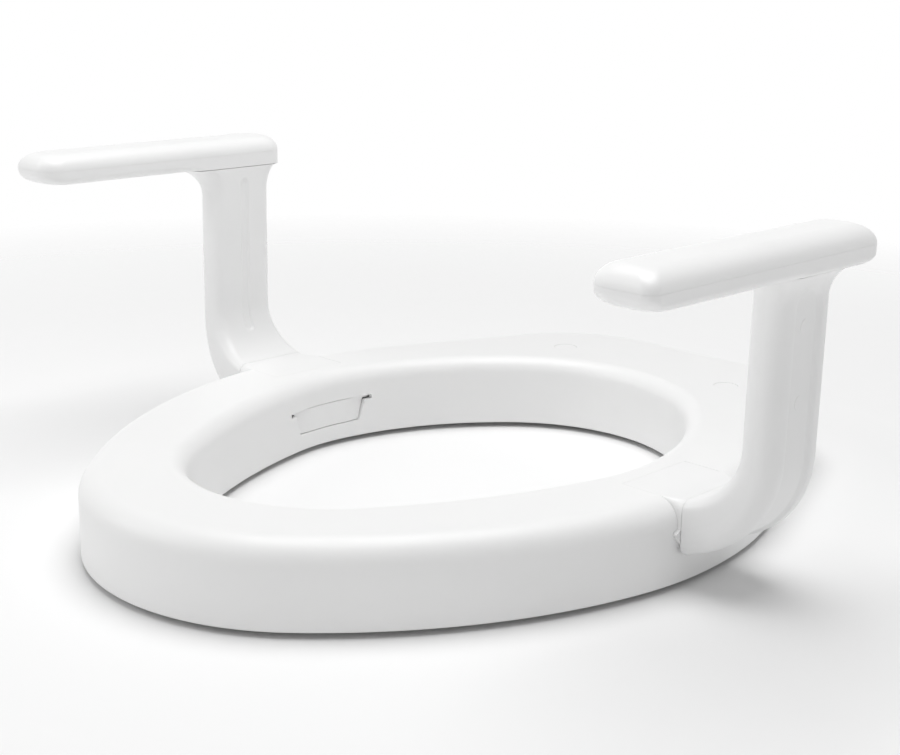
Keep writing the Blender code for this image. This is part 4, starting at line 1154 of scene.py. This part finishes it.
# ======== stage, light and camera
CAMERA_PLACE = Vector((0.6363, -0.6711, 0.3318))
CAMERA_AZIMUTH = math.radians(43.93)
CAMERA_PITCH = math.radians(15.47)
CAMERA_ROLL = math.radians(1.07)
CAMERA_LENS = 62.53
CAMERA_SENSOR = 36.0
CAMERA_CLIP = (0.01, 500.0)
FLOOR_RADIUS = 1.4
FLOOR_SIDES = 96
FLOOR_FADE = (0.36, 1.05)  # radii between which the floor fades into the white surround
SKY_WHITE = 1.0
SKY_GREY = 0.40
SKY_EASE = (0.03, 0.30)  # heights of the view direction between which white turns to grey
BOX_HEIGHT = 1.45
BOX_SIZE = 1.3
BOX_POWER = 15.5
FILL_PLACE = (-1.1, -1.3, 0.9)
FILL_SIZE = 1.0
FILL_POWER = 5.0
DIM_WAY = (0.9, -0.4, -1.5)  # the surround is dimmest low down on this side
DIM_REACH = 0.9  # how far along that way it gets to its least
DIM_LEAST = 0.86


def make_camera():
    data = bpy.data.cameras.new("camera")
    data.lens = CAMERA_LENS
    data.sensor_width = CAMERA_SENSOR
    data.clip_start, data.clip_end = CAMERA_CLIP
    camera = bpy.data.objects.new("camera", data)
    bpy.context.scene.collection.objects.link(camera)
    turn = Matrix.Rotation(CAMERA_AZIMUTH, 4, "Z")
    tilt = Matrix.Rotation(0.5 * math.pi - CAMERA_PITCH, 4, "X")
    roll = Matrix.Rotation(CAMERA_ROLL, 4, "Z")
    camera.matrix_world = Matrix.Translation(CAMERA_PLACE) @ turn @ tilt @ roll
    bpy.context.scene.camera = camera


def make_floor():
    """A pale floor that fades into the white surround well away from the seat."""
    shader = Shader("pale_floor", 0.6)
    clouds = shader.noise(scale=2.0, detail=2.0)
    shader.give("Base Color", shader.mix(shader.spread(clouds, 0.0, 1.0), FLOOR_LIGHT, FLOOR_SHADE))
    shader.principled.inputs["Specular IOR Level"].default_value = FLOOR_SPECULAR
    distance = shader.nodes.new("ShaderNodeVectorMath")
    distance.operation = "LENGTH"
    shader.links.new(shader.place, distance.inputs[0])
    shader.give("Alpha", shader.spread(distance.outputs["Value"], 1.0, 0.0, *FLOOR_FADE))
    bm = bmesh.new()
    bmesh.ops.create_circle(bm, cap_ends=True, radius=FLOOR_RADIUS, segments=FLOOR_SIDES)
    floor = object_from("floor", bm)
    floor.data.materials.append(shader.material)


def area_light(name, place, size, power):
    data = bpy.data.lights.new(name, "AREA")
    data.shape = "DISK"
    data.size = size
    data.energy = power
    light = bpy.data.objects.new(name, data)
    bpy.context.scene.collection.objects.link(light)
    light.location = place
    light.rotation_mode = "QUATERNION"
    light.rotation_quaternion = Vector(place).to_track_quat("Z", "Y")
    light.visible_camera = False


def make_world():
    """White below and at the horizon, soft grey overhead, and a little dimmer low down on one side."""
    world = bpy.data.worlds.new("studio")
    world.use_nodes = True
    nodes, links = world.node_tree.nodes, world.node_tree.links
    direction = nodes.new("ShaderNodeTexCoord").outputs["Generated"]
    split = nodes.new("ShaderNodeSeparateXYZ")
    links.new(direction, split.inputs["Vector"])
    ramp = nodes.new("ShaderNodeValToRGB")
    low, high = ramp.color_ramp.elements
    low.position, high.position = SKY_EASE
    low.color = (SKY_WHITE, SKY_WHITE, SKY_WHITE, 1.0)
    high.color = (SKY_GREY, SKY_GREY, SKY_GREY, 1.0)
    links.new(split.outputs["Z"], ramp.inputs["Fac"])
    links.new(ramp.outputs["Color"], nodes["Background"].inputs["Color"])
    toward = nodes.new("ShaderNodeVectorMath")
    toward.operation = "DOT_PRODUCT"
    toward.inputs[1].default_value = DIM_WAY
    links.new(direction, toward.inputs[0])
    dim = nodes.new("ShaderNodeMapRange")
    limits = {"From Min": 0.0, "From Max": DIM_REACH, "To Min": 1.0, "To Max": DIM_LEAST}
    for key, number in limits.items():
        dim.inputs[key].default_value = number
    links.new(toward.outputs["Value"], dim.inputs["Value"])
    links.new(dim.outputs["Result"], nodes["Background"].inputs["Strength"])
    bpy.context.scene.world = world


def make_lights():
    area_light("overhead_box", (0.0, 0.0, BOX_HEIGHT), BOX_SIZE, BOX_POWER)
    area_light("side_fill", FILL_PLACE, FILL_SIZE, FILL_POWER)
    make_world()


def main():
    make_camera()
    seat = moulded_plastic("seat_white", *SEAT_PLASTIC)
    arm = moulded_plastic("arm_white", *ARM_PLASTIC)
    base = moulded_plastic("base_white", *BASE_PLASTIC)
    socket = moulded_plastic("socket_white", *SOCKET_PLASTIC)
    steel = steel_material("drawn_steel", *DRAWN_STEEL)
    screw = steel_material("turned_steel", *TURNED_STEEL)
    make_ring(seat)
    make_base_plate(base)
    make_bolt_caps(seat)
    make_release_tabs(seat)
    make_uprights(arm)
    make_foot_blocks(arm)
    make_armrests(arm)
    make_bumpers(rubber_material())
    make_screws(screw)
    paint_cad_nodes(socket, steel)
    make_floor()
    make_lights()
    bpy.context.scene.view_settings.view_transform = "Standard"


main()
